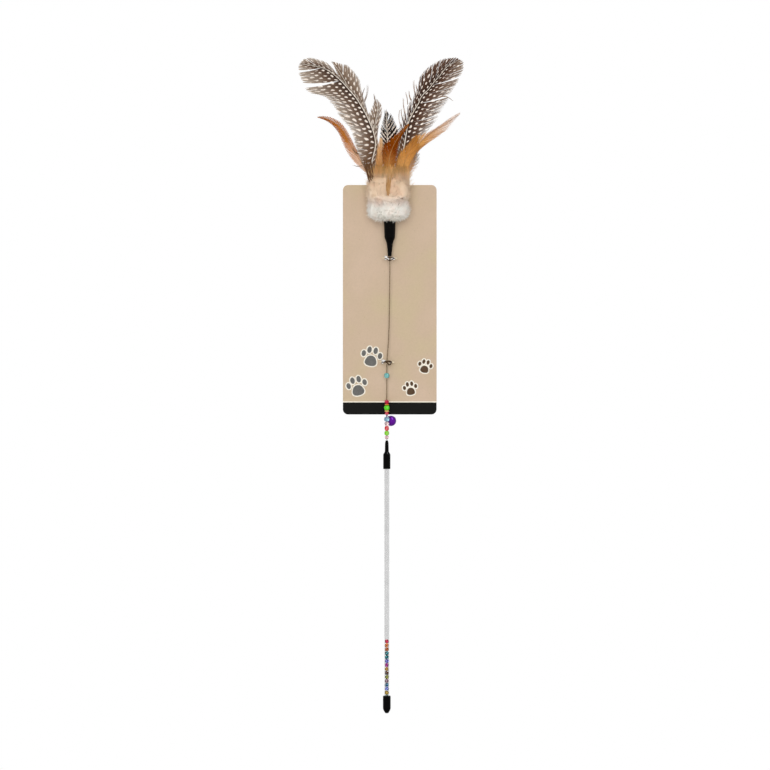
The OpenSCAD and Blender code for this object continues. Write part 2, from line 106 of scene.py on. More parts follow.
def clouded(name, scale, dark, pale, detail=2.0, **sockets):
    """A new material whose colour drifts between two tones, in noise of so many cells to the metre, which
    is 1000 over the real size of a patch in mm."""
    material, tree, shader = finish(name, **sockets)
    place = add(tree, "TexCoord").outputs["Object"]
    cloud = add(tree, "TexNoise", {"Vector": place, "Scale": scale, "Detail": detail})
    tone = add(tree, "ValToRGB", [cloud], stops=[(0.3, dark), (0.7, pale)])
    tree.links.new(tone.outputs[0], shader.inputs["Base Color"])
    return material


def dress(node, material):
    """Gives the finish to a CAD node that keeps its own mesh."""
    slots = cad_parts[node].data.materials
    slots.clear()
    slots.append(material)


def quads(rows, columns, wrap=False):
    """Corner numbers of the faces of a grid of points. With wrap, the last column joins the first."""
    row = np.arange(rows - 1)[:, None]
    column = np.arange(columns if wrap else columns - 1)[None, :]
    a = row * columns + column
    b = row * columns + (column + 1) % columns
    return np.stack([a, b, b + columns, a + columns], -1).reshape(-1, 4)


WELD_M = 1e-6


def make(name, points, faces, material, uv=None, weld=False, normals=None, **marks):
    """A smooth mesh object at the origin, from points in mm. marks are numbers kept at each point. weld
    joins points at the same place, and normals shades the mesh as if it faced those ways."""
    mesh = bpy.data.meshes.new(name)
    mesh.from_pydata((np.asarray(points, float) * MM).tolist(), [], faces.tolist())
    mesh.materials.append(material)
    if uv is not None:
        corner = np.empty(len(mesh.loops), np.int32)
        mesh.loops.foreach_get("vertex_index", corner)
        mesh.uv_layers.new(name="vane").data.foreach_set("uv", uv[corner].ravel())
    for mark, values in marks.items():
        mesh.attributes.new(mark, "FLOAT", "POINT").data.foreach_set("value", values)
    if weld:
        shape = bmesh.new()
        shape.from_mesh(mesh)
        bmesh.ops.remove_doubles(shape, verts=shape.verts, dist=WELD_M)
        bmesh.ops.recalc_face_normals(shape, faces=shape.faces)
        shape.to_mesh(mesh)
        shape.free()
    mesh.polygons.foreach_set("use_smooth", np.ones(len(mesh.polygons), bool))
    mesh.update()
    if normals is not None:
        mesh.normals_split_custom_set_from_vertices(normals.tolist())
    piece = bpy.data.objects.new(name, mesh)
    bpy.context.scene.collection.objects.link(piece)
    return piece


FINE_STEPS = 40


def curve(points, count):
    """Catmull-Rom through the points, at equal steps of length: with neighbours a, b, c and d,
    p = (2 b + (c - a) t + (2 a - 5 b + 4 c - d) t^2 + (3 b - a - 3 c + d) t^3) / 2."""
    p = np.asarray(points, float)
    p = np.vstack([2 * p[0] - p[1], p, 2 * p[-1] - p[-2]])
    place = np.linspace(0, len(points) - 1, FINE_STEPS * len(points))
    i = np.minimum(place.astype(int), len(points) - 2)
    t = (place - i)[:, None]
    a, b, c, d = p[i], p[i + 1], p[i + 2], p[i + 3]
    line = (2 * b + (c - a) * t + (2 * a - 5 * b + 4 * c - d) * t**2 + (3 * b - a - 3 * c + d) * t**3) / 2
    run = np.concatenate([[0], np.cumsum(np.linalg.norm(np.diff(line, axis=0), axis=1))])
    at = np.linspace(0, run[-1], count)
    return np.stack([np.interp(at, run, line[:, k]) for k in range(line.shape[1])], -1)


def unit(v):
    """A vector, or an array of them, over its own length."""
    return v / np.linalg.norm(v, axis=-1, keepdims=True)


def pipe(path, radius, sides, square_to):
    """Rings about a path: p + r (u cos a + v sin a), with u and v square to the path, and closed ends."""
    way = unit(np.gradient(path, axis=0))
    u = unit(np.cross(way, square_to))[:, None]
    v = np.cross(u[:, 0], way)[:, None]
    a = np.linspace(0, 2 * np.pi, sides, endpoint=False)[None, :, None]
    r = np.asarray(radius, float)
    r = np.broadcast_to(r[:, None] if r.ndim == 1 else r, (len(path), sides))[..., None]
    rings = path[:, None] + r * (u * np.cos(a) + v * np.sin(a))
    ends = [np.repeat(path[k][None, None], sides, axis=1) for k in (0, -1)]
    return np.concatenate([ends[0], rings, ends[1]])


STRING_D = 1.0
STRING_SIDES = 12
PLY_PITCH = 1.6
RINGS_PER_PLY = 8
PLY_LOW, PLY_RISE = 0.86, 0.14
UPPER_ROUTE = [
    (0, -6.2, -57.6), (0.1, -6.1, -66), (0, -6, -80), (-0.2, -5.8, -95), (-0.4, -5.6, -110),
    (-0.7, -5.3, -124), (-1.2, -5, -136), (-2, -4.8, -147), (-2.8, -4.6, -156.8),
]
LOWER_ROUTE = [(-2.8, -4.6, -157.7), (-2.8, -4.6, -180), (-2.8, -4.6, -205), (-2.8, -4.6, -229.8)]

# Spun polyester: matt brown, with a soft sheen, and loose fibres that break up the colour about every
# millimetre.
cord_finish = clouded("spun_polyester_cord", 900.0, "5c4a36", "a08a6c", detail=3.0,
                      Roughness=0.85, Specular_IOR_Level=0.1, Sheen_Weight=0.3)


def string(name, route, body, node):
    """Two plies twisted about a route: at the angle a and the drop s, the ring's radius is
    R (low + rise |cos(a - pi s / pitch)|)."""
    drop = abs(route[0][2] - route[-1][2])
    rings = int(drop / PLY_PITCH * RINGS_PER_PLY)
    angle = np.linspace(0, 2 * np.pi, STRING_SIDES, endpoint=False)[None, :]
    run = np.linspace(0, drop, rings)[:, None]
    twist = np.abs(np.cos(angle - np.pi * run / PLY_PITCH))
    grid = pipe(curve(route, rings), STRING_D / 2 * (PLY_LOW + PLY_RISE * twist), STRING_SIDES, (0, 1, 0))
    faces = quads(rings + 2, STRING_SIDES, wrap=True)
    piece = make(name, grid.reshape(-1, 3), faces, cord_finish, weld=True)
    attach(piece, body)
    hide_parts(node)


string("string_from_lure", UPPER_ROUTE, "display_card", "upper_string")
string("string_to_rod", LOWER_ROUTE, "string_line", "lower_string")

for node in ("lure_knot", "rod_knot"):
    dress(node, cord_finish)

# Floor and light: a pale floor far below the wand in an even white room, which the camera, clear
# plastic and shiny surfaces see as white. A wide soft lamp by the camera and one behind light the
# wand, and a small one at the upper right and one overhead show only as highlights.
FLOOR_Z = -0.75
FLOOR_R = 1.5
FLOOR_SIDES = 96
FLOOR_GLOW = 0.55
ROOM_LEVEL = 0.34
LAMPS = {
    "key_lamp": ((-0.1, -2.6, 0.4), 2.2, 49.5),
    "fill_lamp": ((1.3, -1.4, 1.0), 0.7, 9.0),
    "top_lamp": ((0.6, -0.87, 1.32), 0.3, 14.0),
    "back_lamp": ((-0.5, 2.6, 0.5), 1.3, 40.0),
}
MIRRORED = ("fill_lamp", "top_lamp")

world = bpy.data.worlds.new("white_room")
bpy.context.scene.world = world
world.use_nodes = True
tree = world.node_tree
path = add(tree, "LightPath")
seen = add(tree, "Math", [path.outputs["Is Camera Ray"], path.outputs["Is Transmission Ray"]],
           operation="ADD", use_clamp=True)
seen = add(tree, "Math", [seen, path.outputs["Is Glossy Ray"]], operation="ADD", use_clamp=True)
level = add(tree, "MapRange", {"Value": seen, "To Min": ROOM_LEVEL, "To Max": 1.0})
backdrop = tree.nodes["Background"]
backdrop.inputs["Color"].default_value = (1, 1, 1, 1)
tree.links.new(level.outputs[0], backdrop.inputs["Strength"])

# White laminate that shows its own white to the camera, with a soft shadow left on it.
floor_finish, tree, shader = finish("white_laminate", Roughness=0.6, Base_Color=linear("f4f4f2"))
path = add(tree, "LightPath")
glow = add(tree, "Math", [path.outputs["Is Camera Ray"], FLOOR_GLOW], operation="MULTIPLY")
tree.links.new(glow.outputs[0], shader.inputs["Emission Strength"])
shader.inputs["Emission Color"].default_value = (1, 1, 1, 1)
turn = np.linspace(0, 2 * np.pi, FLOOR_SIDES, endpoint=False)
reach = np.array([0.0, 1.0])[:, None] * FLOOR_R / MM
disc = np.stack([reach * np.cos(turn), reach * np.sin(turn), np.full((2, FLOOR_SIDES), FLOOR_Z / MM)], -1)
floor = make("floor", disc.reshape(-1, 3), quads(2, FLOOR_SIDES, wrap=True), floor_finish, weld=True)

for name, (place, size, watts) in LAMPS.items():
    lamp = bpy.data.lights.new(name, "AREA")
    lamp.size = size
    lamp.energy = watts
    holder = bpy.data.objects.new(name, lamp)
    holder.location = place
    towards = np.array([0, 0, VIEW_CENTRE_MM[1] * MM]) - np.array(place)
    holder.rotation_euler = (math.atan2(math.hypot(*towards[:2]), -towards[2]), 0,
                             math.atan2(towards[0], -towards[1]) + math.pi)
    holder.visible_glossy = name in MIRRORED
    holder.visible_diffuse = name not in MIRRORED
    bpy.context.scene.collection.objects.link(holder)

# Display card: 1 mm uncoated kraft board, die cut with round corners and printed on the front with
# a cream rule and a black band. It has the CAD node's own mesh.
CARD_FRONT_Y = -0.5
FACE_SHARE = 0.9
RULE_TOP_Z = -193.4
BAND_TOP_Z = -194.6

# Kraft board: matt, warm grey-brown, in clouds some 40 mm wide where the pulp is thinner, with a grain
# of 1.4 mm and a fine dark fleck in one of ten cells of 2.4 mm.
kraft, tree, shader = finish("uncoated_kraft_board", Roughness=0.9, Specular_IOR_Level=0.1)
place = add(tree, "TexCoord").outputs["Object"]
cloud = add(tree, "TexNoise", {"Vector": place, "Scale": 24.0, "Detail": 2.0, "Roughness": 0.4})
board = add(tree, "ValToRGB", [cloud], stops=[(0.32, "cbb898"), (0.5, "ccb59c"), (0.68, "d0b8a1")])
grain = add(tree, "TexNoise", {"Vector": place, "Scale": 700.0, "Detail": 2.0})
grain = add(tree, "MapRange", {"Value": grain, "To Min": 0.94, "To Max": 1.05})
board = add(tree, "VectorMath", [board, grain], operation="MULTIPLY")
fleck = add(tree, "TexVoronoi", {"Vector": place, "Scale": 420.0})
fleck_near = add(tree, "MapRange", {"Value": fleck.outputs["Distance"], "From Min": 0.16, "From Max": 0.1})
fleck_some = add(tree, "SeparateColor", [fleck.outputs["Color"]])
fleck_some = add(tree, "Math", [fleck_some, 0.9], operation="GREATER_THAN")
fleck_mask = add(tree, "Math", [fleck_near, fleck_some], operation="MULTIPLY")
fleck_mask = add(tree, "Math", [fleck_mask, 0.45], operation="MULTIPLY")
board = add(tree, "Mix", {0: fleck_mask, 6: board, 7: linear("9a8468")}, data_type="RGBA")
split = add(tree, "SeparateXYZ", [place])
front = add(tree, "Math", [split.outputs["Y"], CARD_FRONT_Y * MM * FACE_SHARE], operation="LESS_THAN")
in_rule = add(tree, "Math", [split.outputs["Z"], RULE_TOP_Z * MM], operation="LESS_THAN")
in_rule = add(tree, "Math", [in_rule, front], operation="MULTIPLY")
in_band = add(tree, "Math", [split.outputs["Z"], BAND_TOP_Z * MM], operation="LESS_THAN")
in_band = add(tree, "Math", [in_band, front], operation="MULTIPLY")
ink = add(tree, "ValToRGB", [grain], stops=[(0.0, "0e0e0e"), (1.0, "181817")])
printed = add(tree, "Mix", {0: in_rule, 6: board.outputs[2], 7: linear("efe6d6")}, data_type="RGBA")
printed = add(tree, "Mix", {0: in_band, 6: printed.outputs[2], 7: ink}, data_type="RGBA")
tree.links.new(printed.outputs[2], shader.inputs["Base Color"])
fibres = add(tree, "Bump", {"Height": grain, "Strength": 0.12, "Distance": 0.0003})
tree.links.new(fibres.outputs[0], shader.inputs["Normal"])
dress("card", kraft)

# Print on the card: paw marks in grey and brown ink with a cream outline, a generic motif that
# walks up the lower half of the card. Each is a pad and four toes, a hair above the board.
PAW_SHARES = [(0, 0, 0.46, 0.38), (-0.6, 0.46, 0.16, 0.22), (-0.23, 0.78, 0.16, 0.24),
              (0.23, 0.78, 0.16, 0.24), (0.6, 0.46, 0.16, 0.22)]
PAD_SIDES = 28
PAD_STEP = 0.004
PAD_NARROW, PAD_DENT = 0.22, 0.1
OUTLINE = 1.1
INK_LIFT, OUTLINE_LIFT = 0.05, 0.02
INKS = {"grey": "6c6b68", "brown": "5a4636", "cream": "efe8da"}
PAWS = [(-30, -183, 13, -14, "grey"), (-18, -155, 13, 10, "grey"),
        (20, -184, 9, -10, "brown"), (33, -163, 9, 12, "brown")]


def paw(x, z, size, tilt, grow, y):
    """A fan of points for each pad: centre + half size (cos a, sin a), all turned by the tilt. The big
    pad's half width is times 1 - narrow sin a - dent cos 2 a."""
    points, faces = [], []
    a = np.linspace(0, 2 * np.pi, PAD_SIDES, endpoint=False)
    step = np.arange(PAD_SIDES)
    c, s = math.cos(math.radians(tilt)), math.sin(math.radians(tilt))
    for k, (px, pz, w, h) in enumerate(PAW_SHARES):
        pinch = 1 - PAD_NARROW * (k == 0) * np.sin(a) - PAD_DENT * (k == 0) * np.cos(2 * a)
        u = px * size + (w * size * pinch + grow) * np.cos(a)
        v = pz * size + (h * size + grow) * np.sin(a)
        u, v = np.append(u, px * size), np.append(v, pz * size)
        depth = np.full(u.size, y - k * PAD_STEP)
        points.append(np.stack([x + u * c + v * s, depth, z - u * s + v * c], -1))
        fan = np.stack([step, (step + 1) % PAD_SIDES, np.full(PAD_SIDES, PAD_SIDES)], -1)
        faces.append(fan + k * u.size)
    return np.concatenate(points), np.concatenate(faces)


for ink_name, code in INKS.items():
    # Offset ink: matt, a little uneven, over 1.7 mm or so, where the board's grain takes it up.
    ink_finish, tree, shader = finish("offset_ink_" + ink_name, Roughness=0.8, Specular_IOR_Level=0.1)
    place = add(tree, "TexCoord").outputs["Object"]
    grain = add(tree, "TexNoise", {"Vector": place, "Scale": 600.0, "Detail": 3.0})
    shade = add(tree, "MapRange", {"Value": grain, "To Min": 0.72, "To Max": 1.28})
    tone = add(tree, "VectorMath", {0: linear(code)[:3], 1: shade}, operation="MULTIPLY")
    tree.links.new(tone.outputs[0], shader.inputs["Base Color"])
    under = ink_name == "cream"
    shown = [row for row in PAWS if under or row[4] == ink_name]
    grow, lift = (OUTLINE, OUTLINE_LIFT) if under else (0, INK_LIFT)
    parts = [paw(*row[:4], grow, CARD_FRONT_Y - lift) for row in shown]
    shift = np.cumsum([0] + [len(part[0]) for part in parts[:-1]])
    faces = np.concatenate([part[1] + start for part, start in zip(parts, shift)])
    piece = make("paw_print_" + ink_name, np.concatenate([part[0] for part in parts]), faces, ink_finish)
    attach(piece, "display_card")

# Ties: a twist tie of clear film on a dark wire, its film drawn white as a painted highlight only where
# highlights fall. It comes through two holes in the card, dips in front by d exp(-((a - m) / w)^2) at the
# angle a and goes back, with its second leg over it on the right.
TIE_PLACES = {"upper_tie": (0.0, -57.8), "lower_tie": (-2.8, -156.3)}
TIE_R = 5.0
TIE_BACK = 3.0
DIPS = {"upper_tie": (0, 28, 2.1), "lower_tie": (30, 22, 2.6)}
TIE_WIRE_R = 0.6
TIE_POINTS, FILM_POINTS, LEG_POINTS, END_POINTS = 73, 24, 30, 12
WIRE_SIDES = 10
END_R = 0.75
FILM_TALL = 2.2
FILM_THICK = 0.2
# Spans of white film, as first and last angle and a share of its height: a painted highlight on the clear
# tie.
HIGHLIGHT_SPANS = {"upper_tie": [(-72, -8, 1.0), (12, 48, 0.55)], "lower_tie": [(-68, -12, 1.0)]}
HIGHLIGHT_SHARE_SPAN, END_SPAN = (0.12, 0.88), (0.15, 0.95)
HIGHLIGHT_ROUND = 0.6
LEG = [(-2.2, -8.3, 0.4), (-0.6, -8.4, 0.5), (1.2, -8.3, 0.7), (3, -7.6, 0.5), (4.6, -5.6, -0.2)]
# The lower tie's second leg is half again as thick: a dark mass of wire and painted shade.
LEG_SHARE = {"upper_tie": 0.8, "lower_tie": 1.5}
TAILS = [((-4.6, -5.5, 0.2), (-7.4, -6.4, 0.4)), ((4.4, -5.8, 0.1), (7.2, -6.6, -0.2))]

# Clear PVC film, drawn near white as a painted highlight, in patches of 2 mm.
film = clouded("clear_film_painted_highlight", 500.0, "f4f0ec", "ffffff", Roughness=0.15, IOR=1.3,
               Transmission_Weight=0.1)
# Annealed wire: dull brown-black, in patches of 1.25 mm, its dark partly painted shade inside the clear
# tie.
wire = clouded("wire_and_painted_shade", 800.0, "2c1c08", "55402c", Roughness=0.5, Specular_IOR_Level=0.15)
# Paper end: cream, in patches of 2.5 mm.
tie_end = clouded("cream_tie_end", 400.0, "d2c0a0", "e6d8bc", Roughness=0.7)


def dip(a, node):
    """How far a tie's wire sags below its holes at the angle a: d exp(-((a - m) / w)^2)."""
    middle, width, depth = DIPS[node]
    return depth * np.exp(-((np.degrees(a) - middle) / width) ** 2)


def tie_wire(name, line, radius, material):
    """A round wire along a line in mm."""
    ring = pipe(line, radius, WIRE_SIDES, (0, 0, 1))
    return make(name, ring.reshape(-1, 3), quads(len(ring), WIRE_SIDES, wrap=True), material, weld=True)


for node, (x, z) in TIE_PLACES.items():
    a = np.linspace(-np.pi, np.pi, TIE_POINTS)
    loop = np.stack([x + TIE_R * np.sin(a), -TIE_BACK - TIE_R * np.cos(a), z - dip(a, node)], -1)
    wound = tie_wire(node + "_wire", loop, TIE_WIRE_R, wire)
    corner = np.array([(-1, -1), (1, -1), (1, 1), (-1, 1)]) / 2
    strips = []
    # Each span of white film is a painted highlight on the clear tie.
    for first, last, share in HIGHLIGHT_SPANS[node]:
        a = np.radians(np.linspace(first, last, FILM_POINTS))
        outward = np.stack([np.sin(a), -np.cos(a), 0 * a], -1)
        tall = FILM_TALL * share * np.sin(np.linspace(*HIGHLIGHT_SHARE_SPAN, FILM_POINTS) * np.pi) ** HIGHLIGHT_ROUND
        strip = np.array([x, -TIE_BACK, z + TIE_WIRE_R * 0.5]) + TIE_R * outward
        strip[:, 2] -= dip(a, node)
        strip = strip[:, None] + (TIE_WIRE_R + corner[:, :1] * FILM_THICK) * outward[:, None]
        strip[..., 2] += (corner[:, 1] + 0.5) * tall[:, None]
        strips.append(strip.reshape(-1, 3))
    band = quads(FILM_POINTS, len(corner), wrap=True)
    faces = np.concatenate([band + k * len(strips[0]) for k in range(len(strips))])
    highlight_film = make(node + "_film", np.concatenate(strips), faces, film)
    leg = np.array([x, 0, z]) + curve(LEG, LEG_POINTS)
    second = tie_wire(node + "_second_leg", leg, TIE_WIRE_R * LEG_SHARE[node], wire)
    ends = []
    for near, far in TAILS:
        line = np.linspace(near, far, END_POINTS) + np.array([x, 0, z])
        swell = np.sqrt(np.sin(np.linspace(*END_SPAN, END_POINTS) * np.pi))
        ends.append(pipe(line, END_R * swell, WIRE_SIDES, (0, 0, 1)))
    tube = quads(len(ends[0]), WIRE_SIDES, wrap=True)
    faces = np.concatenate([tube, tube + len(ends[0]) * WIRE_SIDES])
    splayed = make(node + "_ends", np.concatenate(ends).reshape(-1, 3), faces, tie_end, weld=True)
    for piece in (wound, highlight_film, second, splayed):
        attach(piece, "display_card")
    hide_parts(node)


# Socket, ferrule and end cap: dip-moulded black vinyl, pushed over the glued quills and over both
# ends of the tube. Each is turned from a profile with soft corners.
def rounded(corners, radius, steps=5):
    """A closed outline with each corner c replaced by (1 - t)^2 a + 2 t (1 - t) c + t^2 b,
    where a and b lie a radius before and after it."""
    c = np.asarray(corners, float)
    back, ahead = np.roll(c, 1, 0) - c, np.roll(c, -1, 0) - c
    far_back, far_ahead = (np.linalg.norm(v, axis=1, keepdims=True) for v in (back, ahead))
    a = c + back / far_back * np.minimum(radius, far_back * 0.45)
    b = c + ahead / far_ahead * np.minimum(radius, far_ahead * 0.45)
    t = np.linspace(0, 1, steps)[None, :, None]
    return ((1 - t) ** 2 * a[:, None] + 2 * t * (1 - t) * c[:, None] + t**2 * b[:, None]).reshape(-1, 2)


def lathe(profile, x, y, turns=64):
    """A profile of radius and height turned about a plumb axis: (x + r cos a, y + r sin a, z)."""
    a = np.linspace(0, 2 * np.pi, turns, endpoint=False)
    r, z = profile[:, 0][None, :], profile[:, 1][None, :]
    grid = np.stack([x + r * np.cos(a)[:, None], y + r * np.sin(a)[:, None], z + 0 * a[:, None]], -1)
    closed = np.concatenate([grid, grid[:1]])
    return closed.reshape(-1, 3), quads(turns + 1, r.size, wrap=True)


# Dip-moulded vinyl: deep black with a soft gloss, and faint pits about 3 mm apart left by the dip.
vinyl, tree, shader = finish("dip_moulded_vinyl", Roughness=0.2, Specular_IOR_Level=0.05)
place = add(tree, "TexCoord").outputs["Object"]
pits = add(tree, "TexNoise", {"Vector": place, "Scale": 350.0, "Detail": 3.0})
black = add(tree, "ValToRGB", [pits], stops=[(0.3, "000000"), (0.75, "030202")])
tree.links.new(black.outputs[0], shader.inputs["Base Color"])
soft = add(tree, "MapRange", {"Value": pits, "To Min": 0.16, "To Max": 0.26})
tree.links.new(soft.outputs[0], shader.inputs["Roughness"])
dimple = add(tree, "Bump", {"Height": pits, "Strength": 0.15, "Distance": 0.0002})
tree.links.new(dimple.outputs[0], shader.inputs["Normal"])

LURE_XY = (0.0, -6.2)
HANG_XY = (-2.8, -4.6)
SOCKET = [(0.62, -56.1), (1.65, -56.1), (2.85, -43.7), (5.1, -37.9), (5.55, -23.6), (5.55, -22.6),
          (4.35, -22.6), (4.35, -37.3), (1.65, -37.4), (1.65, -40.7), (0.62, -40.8)]
FERRULE = [(0.62, -230.45), (0.98, -230.45), (1.35, -231.3), (1.7, -233), (1.9, -241.2), (3.45, -243.8),
           (3.45, -257.65), (2.56, -257.65), (2.56, -245.65), (2.0, -245.6), (2.0, -244.4), (0.62, -244.4)]
CAP = [(0.0, -489.3), (1.5, -489.3), (3.7, -485.4), (3.7, -472.7), (2.56, -472.7), (2.56, -486.75),
       (0.0, -486.75)]
SLEEVES = {
    "lure_socket": (SOCKET, LURE_XY, "lure", 1.2),
    "rod_ferrule": (FERRULE, HANG_XY, "rod", 0.5),
    "end_cap": (CAP, HANG_XY, "rod", 1.4),
}
CORNER_STEPS = 7
for node, (profile, (x, y), body, soften) in SLEEVES.items():
    outline = rounded(profile, soften, CORNER_STEPS)
    outline[:, 0] = np.maximum(outline[:, 0], min(r for r, _ in profile))
    piece = make(node + "_vinyl", *lathe(outline, x, y), vinyl, weld=True)
    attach(piece, body)
    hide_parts(node)

# Glue plug: hot-melt glue that was run into the socket round the quills and set there, under the down.
# It holds them over the knot of the string. It is cloudy cream, in patches of 4 mm.
glue = clouded("hot_melt_glue", 250.0, "cfc4a2", "e6dfc8", Roughness=0.3, Subsurface_Weight=0.2)
dress("quill_plug", glue)


# Guinea feathers: five body feathers of a guinea fowl, each a horny shaft with a vane of separate
# barbs on both sides. The barbs are narrow ribbons that run from the shaft to the vane's outline,
# hold together in bundles and part in a few places, as a preened vane does.
BARB_STEPS = 12
BARB_PITCH = 0.36
SHAFT_R = 0.85
RIM_POINTS = 240
WIDEST_BARB = 2.5
CUP_LENGTH = 20
BUNDLE_DEPTH, BARB_DEPTH, BARB_TURN = 0.25, 0.1, 0.3
WISP_ROOT, WISP_TIP, WISP_DEPTH = 0.25, 0.5, 0.3
BETWEEN_SPOTS = 2.5
FLUFF_Y = -18.0


def barbs(shaft, edge, leads, rng, pitch=BARB_PITCH, fray=(0.25, 0.25), bend=0.1, cup=1.0, gaps=(),
          ragged=0.02, cover=1.45, bundle=12, clump=0.3, fade=1.0):
    """Barbs from a shaft to an outline of (x, z) points. One that starts at share s of the shaft ends at
    share s + lead(s) of the outline, along p = (1 - q)^2 a + 2 q (1 - q) c + q^2 b, where c is the
    middle of a and b, moved back along the shaft by bend. The width goes from the pitch at the shaft
    to the spacing at the outline, times 1 - fray q^2. A gap (x, z, strength, spread) opens the outline.
    The mark for reach, which the colours follow, is fade q."""
    run = np.linalg.norm(np.diff(shaft, axis=0), axis=1).sum()
    count = int(run / pitch)
    share = (np.arange(count) + 0.5) / count
    steps = np.linspace(0, 1, len(shaft))
    way = unit(np.gradient(shaft, axis=0))
    base, ahead = (np.stack([np.interp(share, steps, line[:, k]) for k in range(3)], -1)
                   for line in (shaft, way))
    rim = curve(edge, RIM_POINTS)
    along = np.linspace(0, 1, RIM_POINTS)
    goal = np.clip(share + np.interp(share, np.linspace(0, 1, len(leads)), leads), 0, 1)
    for x, z, strength, spread in gaps:
        away = goal - along[np.argmin((rim[:, 0] - x) ** 2 + (rim[:, 1] - z) ** 2)]
        goal = goal + strength * np.sign(away) * np.exp(-np.abs(away) / spread)
    group = (np.arange(count) + rng.integers(0, bundle)) // bundle
    within = (np.arange(count) + 0.5) % bundle / bundle - 0.5
    pull = rng.uniform(0.2, 1, group.max() + 1)[group]
    goal = np.clip(goal - clump * within * bundle / count * pull, 0, 1)
    end_x, end_z = (np.interp(goal, along, rim[:, k]) for k in (0, 1))
    end = np.stack([end_x, base[:, 1], end_z], -1)
    end = base + (end - base) * (1 + ragged * rng.standard_normal((count, 1)))
    length = np.linalg.norm(end - base, axis=1)
    sway = rng.uniform(-1, 1, group.max() + 1)[group]
    end[:, 1] += cup * np.minimum(length / CUP_LENGTH, 1) + BUNDLE_DEPTH * sway
    end[:, 1] += BARB_DEPTH * rng.standard_normal(count)
    middle = (base + end) / 2 - ahead * (bend * length)[:, None]
    q = np.linspace(0, 1, BARB_STEPS + 1)[None, :, None]
    path = (1 - q) ** 2 * base[:, None] + 2 * q * (1 - q) * middle[:, None] + q**2 * end[:, None]
    spacing = np.linalg.norm(np.gradient(end, axis=0), axis=1)
    spacing = np.minimum(spacing, WIDEST_BARB * pitch)[:, None, None]
    thin = np.interp(share, np.linspace(0, 1, len(fray)), fray)[:, None, None]
    half = cover / 2 * ((1 - q) * pitch + q * spacing) * (1 - thin * q**2) * np.sqrt(1 - q**12 * 0.9)
    rim_way = unit(np.gradient(rim, axis=0))
    way_x, way_z = (np.interp(goal, along, rim_way[:, k]) for k in (0, 1))
    rim_way = np.stack([way_x, 0 * goal, way_z], -1)
    across = unit((1 - q) * ahead[:, None] + q * rim_way[:, None] + [0, 1e-6, 0])
    tilt = BARB_TURN * rng.standard_normal((count, 1, 1))
    across = (across * np.cos(tilt) + np.array([0, 1.0, 0]) * np.sin(tilt)) * half
    points = np.stack([path - across, path + across], 2)
    uv = np.empty(points.shape[:3] + (2,))
    uv[..., 0] = (share * run)[:, None, None] + half * [-1, 1]
    uv[..., 1] = (length[:, None] * q[..., 0])[..., None]
    reach = np.broadcast_to(fade * q, points.shape[:3])
    return points, uv, reach, np.broadcast_to(share[:, None, None], points.shape[:3])


def wisps(rows, y, rng, thickness=0.2, strands=5):
    """Loose barbs that left the vane: strands from (x, z) to (x, z) with a bow b, each
    p = a + (b - a) q + bow n sin(pi q), and a little apart."""
    a, b, bow = (np.repeat(np.array([row[k] for row in rows], float).reshape(len(rows), -1), strands, 0)
                 for k in range(3))
    count = len(a)
    a = a + WISP_ROOT * rng.standard_normal(a.shape)
    b = b + WISP_TIP * rng.standard_normal(b.shape)
    q = np.linspace(0, 1, BARB_STEPS + 1)[None, :, None]
    n = unit(np.stack([-(b - a)[:, 1], (b - a)[:, 0]], -1))
    flat = a[:, None] + (b - a)[:, None] * q + n[:, None] * bow[:, None] * np.sin(np.pi * q)
    depth = y + WISP_DEPTH * rng.standard_normal((count, 1)) + 0 * flat[..., 0]
    path = np.stack([flat[..., 0], depth, flat[..., 1]], -1)
    across = np.stack([n[:, 0], 0 * n[:, 0], n[:, 1]], -1)[:, None] * thickness * (1 - 0.8 * q)
    points = np.stack([path - across, path + across], 2)
    marks = np.zeros(points.shape[:3])
    return points, np.broadcast_to([BETWEEN_SPOTS, 0.0], points.shape[:3] + (2,)), marks, marks


def ribbons(parts):
    """Joins arrays of ribbons, each (ribbons, steps + 1, 2), into the lists that make() takes."""
    joined = [np.concatenate([part[k].reshape(-1, part[k].shape[-1] if k < 2 else 1) for part in parts])
              for k in range(4)]
    faces, start = [], 0
    for grid, *_ in parts:
        count, rows = grid.shape[:2]
        strip = quads(rows, 2)[None] + start + (np.arange(count) * rows * 2)[:, None, None]
        faces.append(strip.reshape(-1, 4))
        start += count * rows * 2
    return joined[0], np.concatenate(faces), joined[1], joined[2].ravel(), joined[3].ravel()


SHAFT_POINTS = 160


def bent(route, y, bow, curl):
    """A shaft in space from its (x, z) points: y - bow sin(pi t) - curl t^2 along its share t."""
    flat = curve(route, SHAFT_POINTS)
    t = np.linspace(0, 1, len(flat))
    return np.stack([flat[:, 0], y - bow * np.sin(np.pi * t) - curl * t**2, flat[:, 1]], -1)


PLUG_TOP_Z = -25.0
GATHER = 0.15
GATHER_DEPTH = 0.7
ROOT_POINTS = 60
STEM_ENDS = (40, 60)
SHAFT_SIDES = 8
SHAFT_PROUD = 0.4


def quill(name, shaft, radius, material, front=(), stem=1.0):
    """A shaft from the glue plug to its tip, which thins as r (1 - 0.75 t). front are points that the
    part under the vane goes through, where it is stem times as thick."""
    y = LURE_XY[1] + (shaft[0, 1] - LURE_XY[1]) * GATHER_DEPTH
    foot = np.array([[shaft[0, 0] * GATHER, y, PLUG_TOP_Z]])
    root = curve(np.vstack([foot, np.reshape(front, (-1, 3)), shaft[0], shaft[12]]), ROOT_POINTS)
    path = np.vstack([root[:-8], shaft[4:] - [0, SHAFT_PROUD, 0]])
    t = np.linspace(0, 1, len(path))
    thick = np.interp(np.arange(len(path)), STEM_ENDS, [stem, 1])
    grid = pipe(path, radius * (1 - 0.75 * t) * thick, SHAFT_SIDES, (0, 1, 0))
    piece = make(name, grid.reshape(-1, 3), quads(len(grid), SHAFT_SIDES, wrap=True), material, weld=True)
    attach(piece, "lure")
    return piece


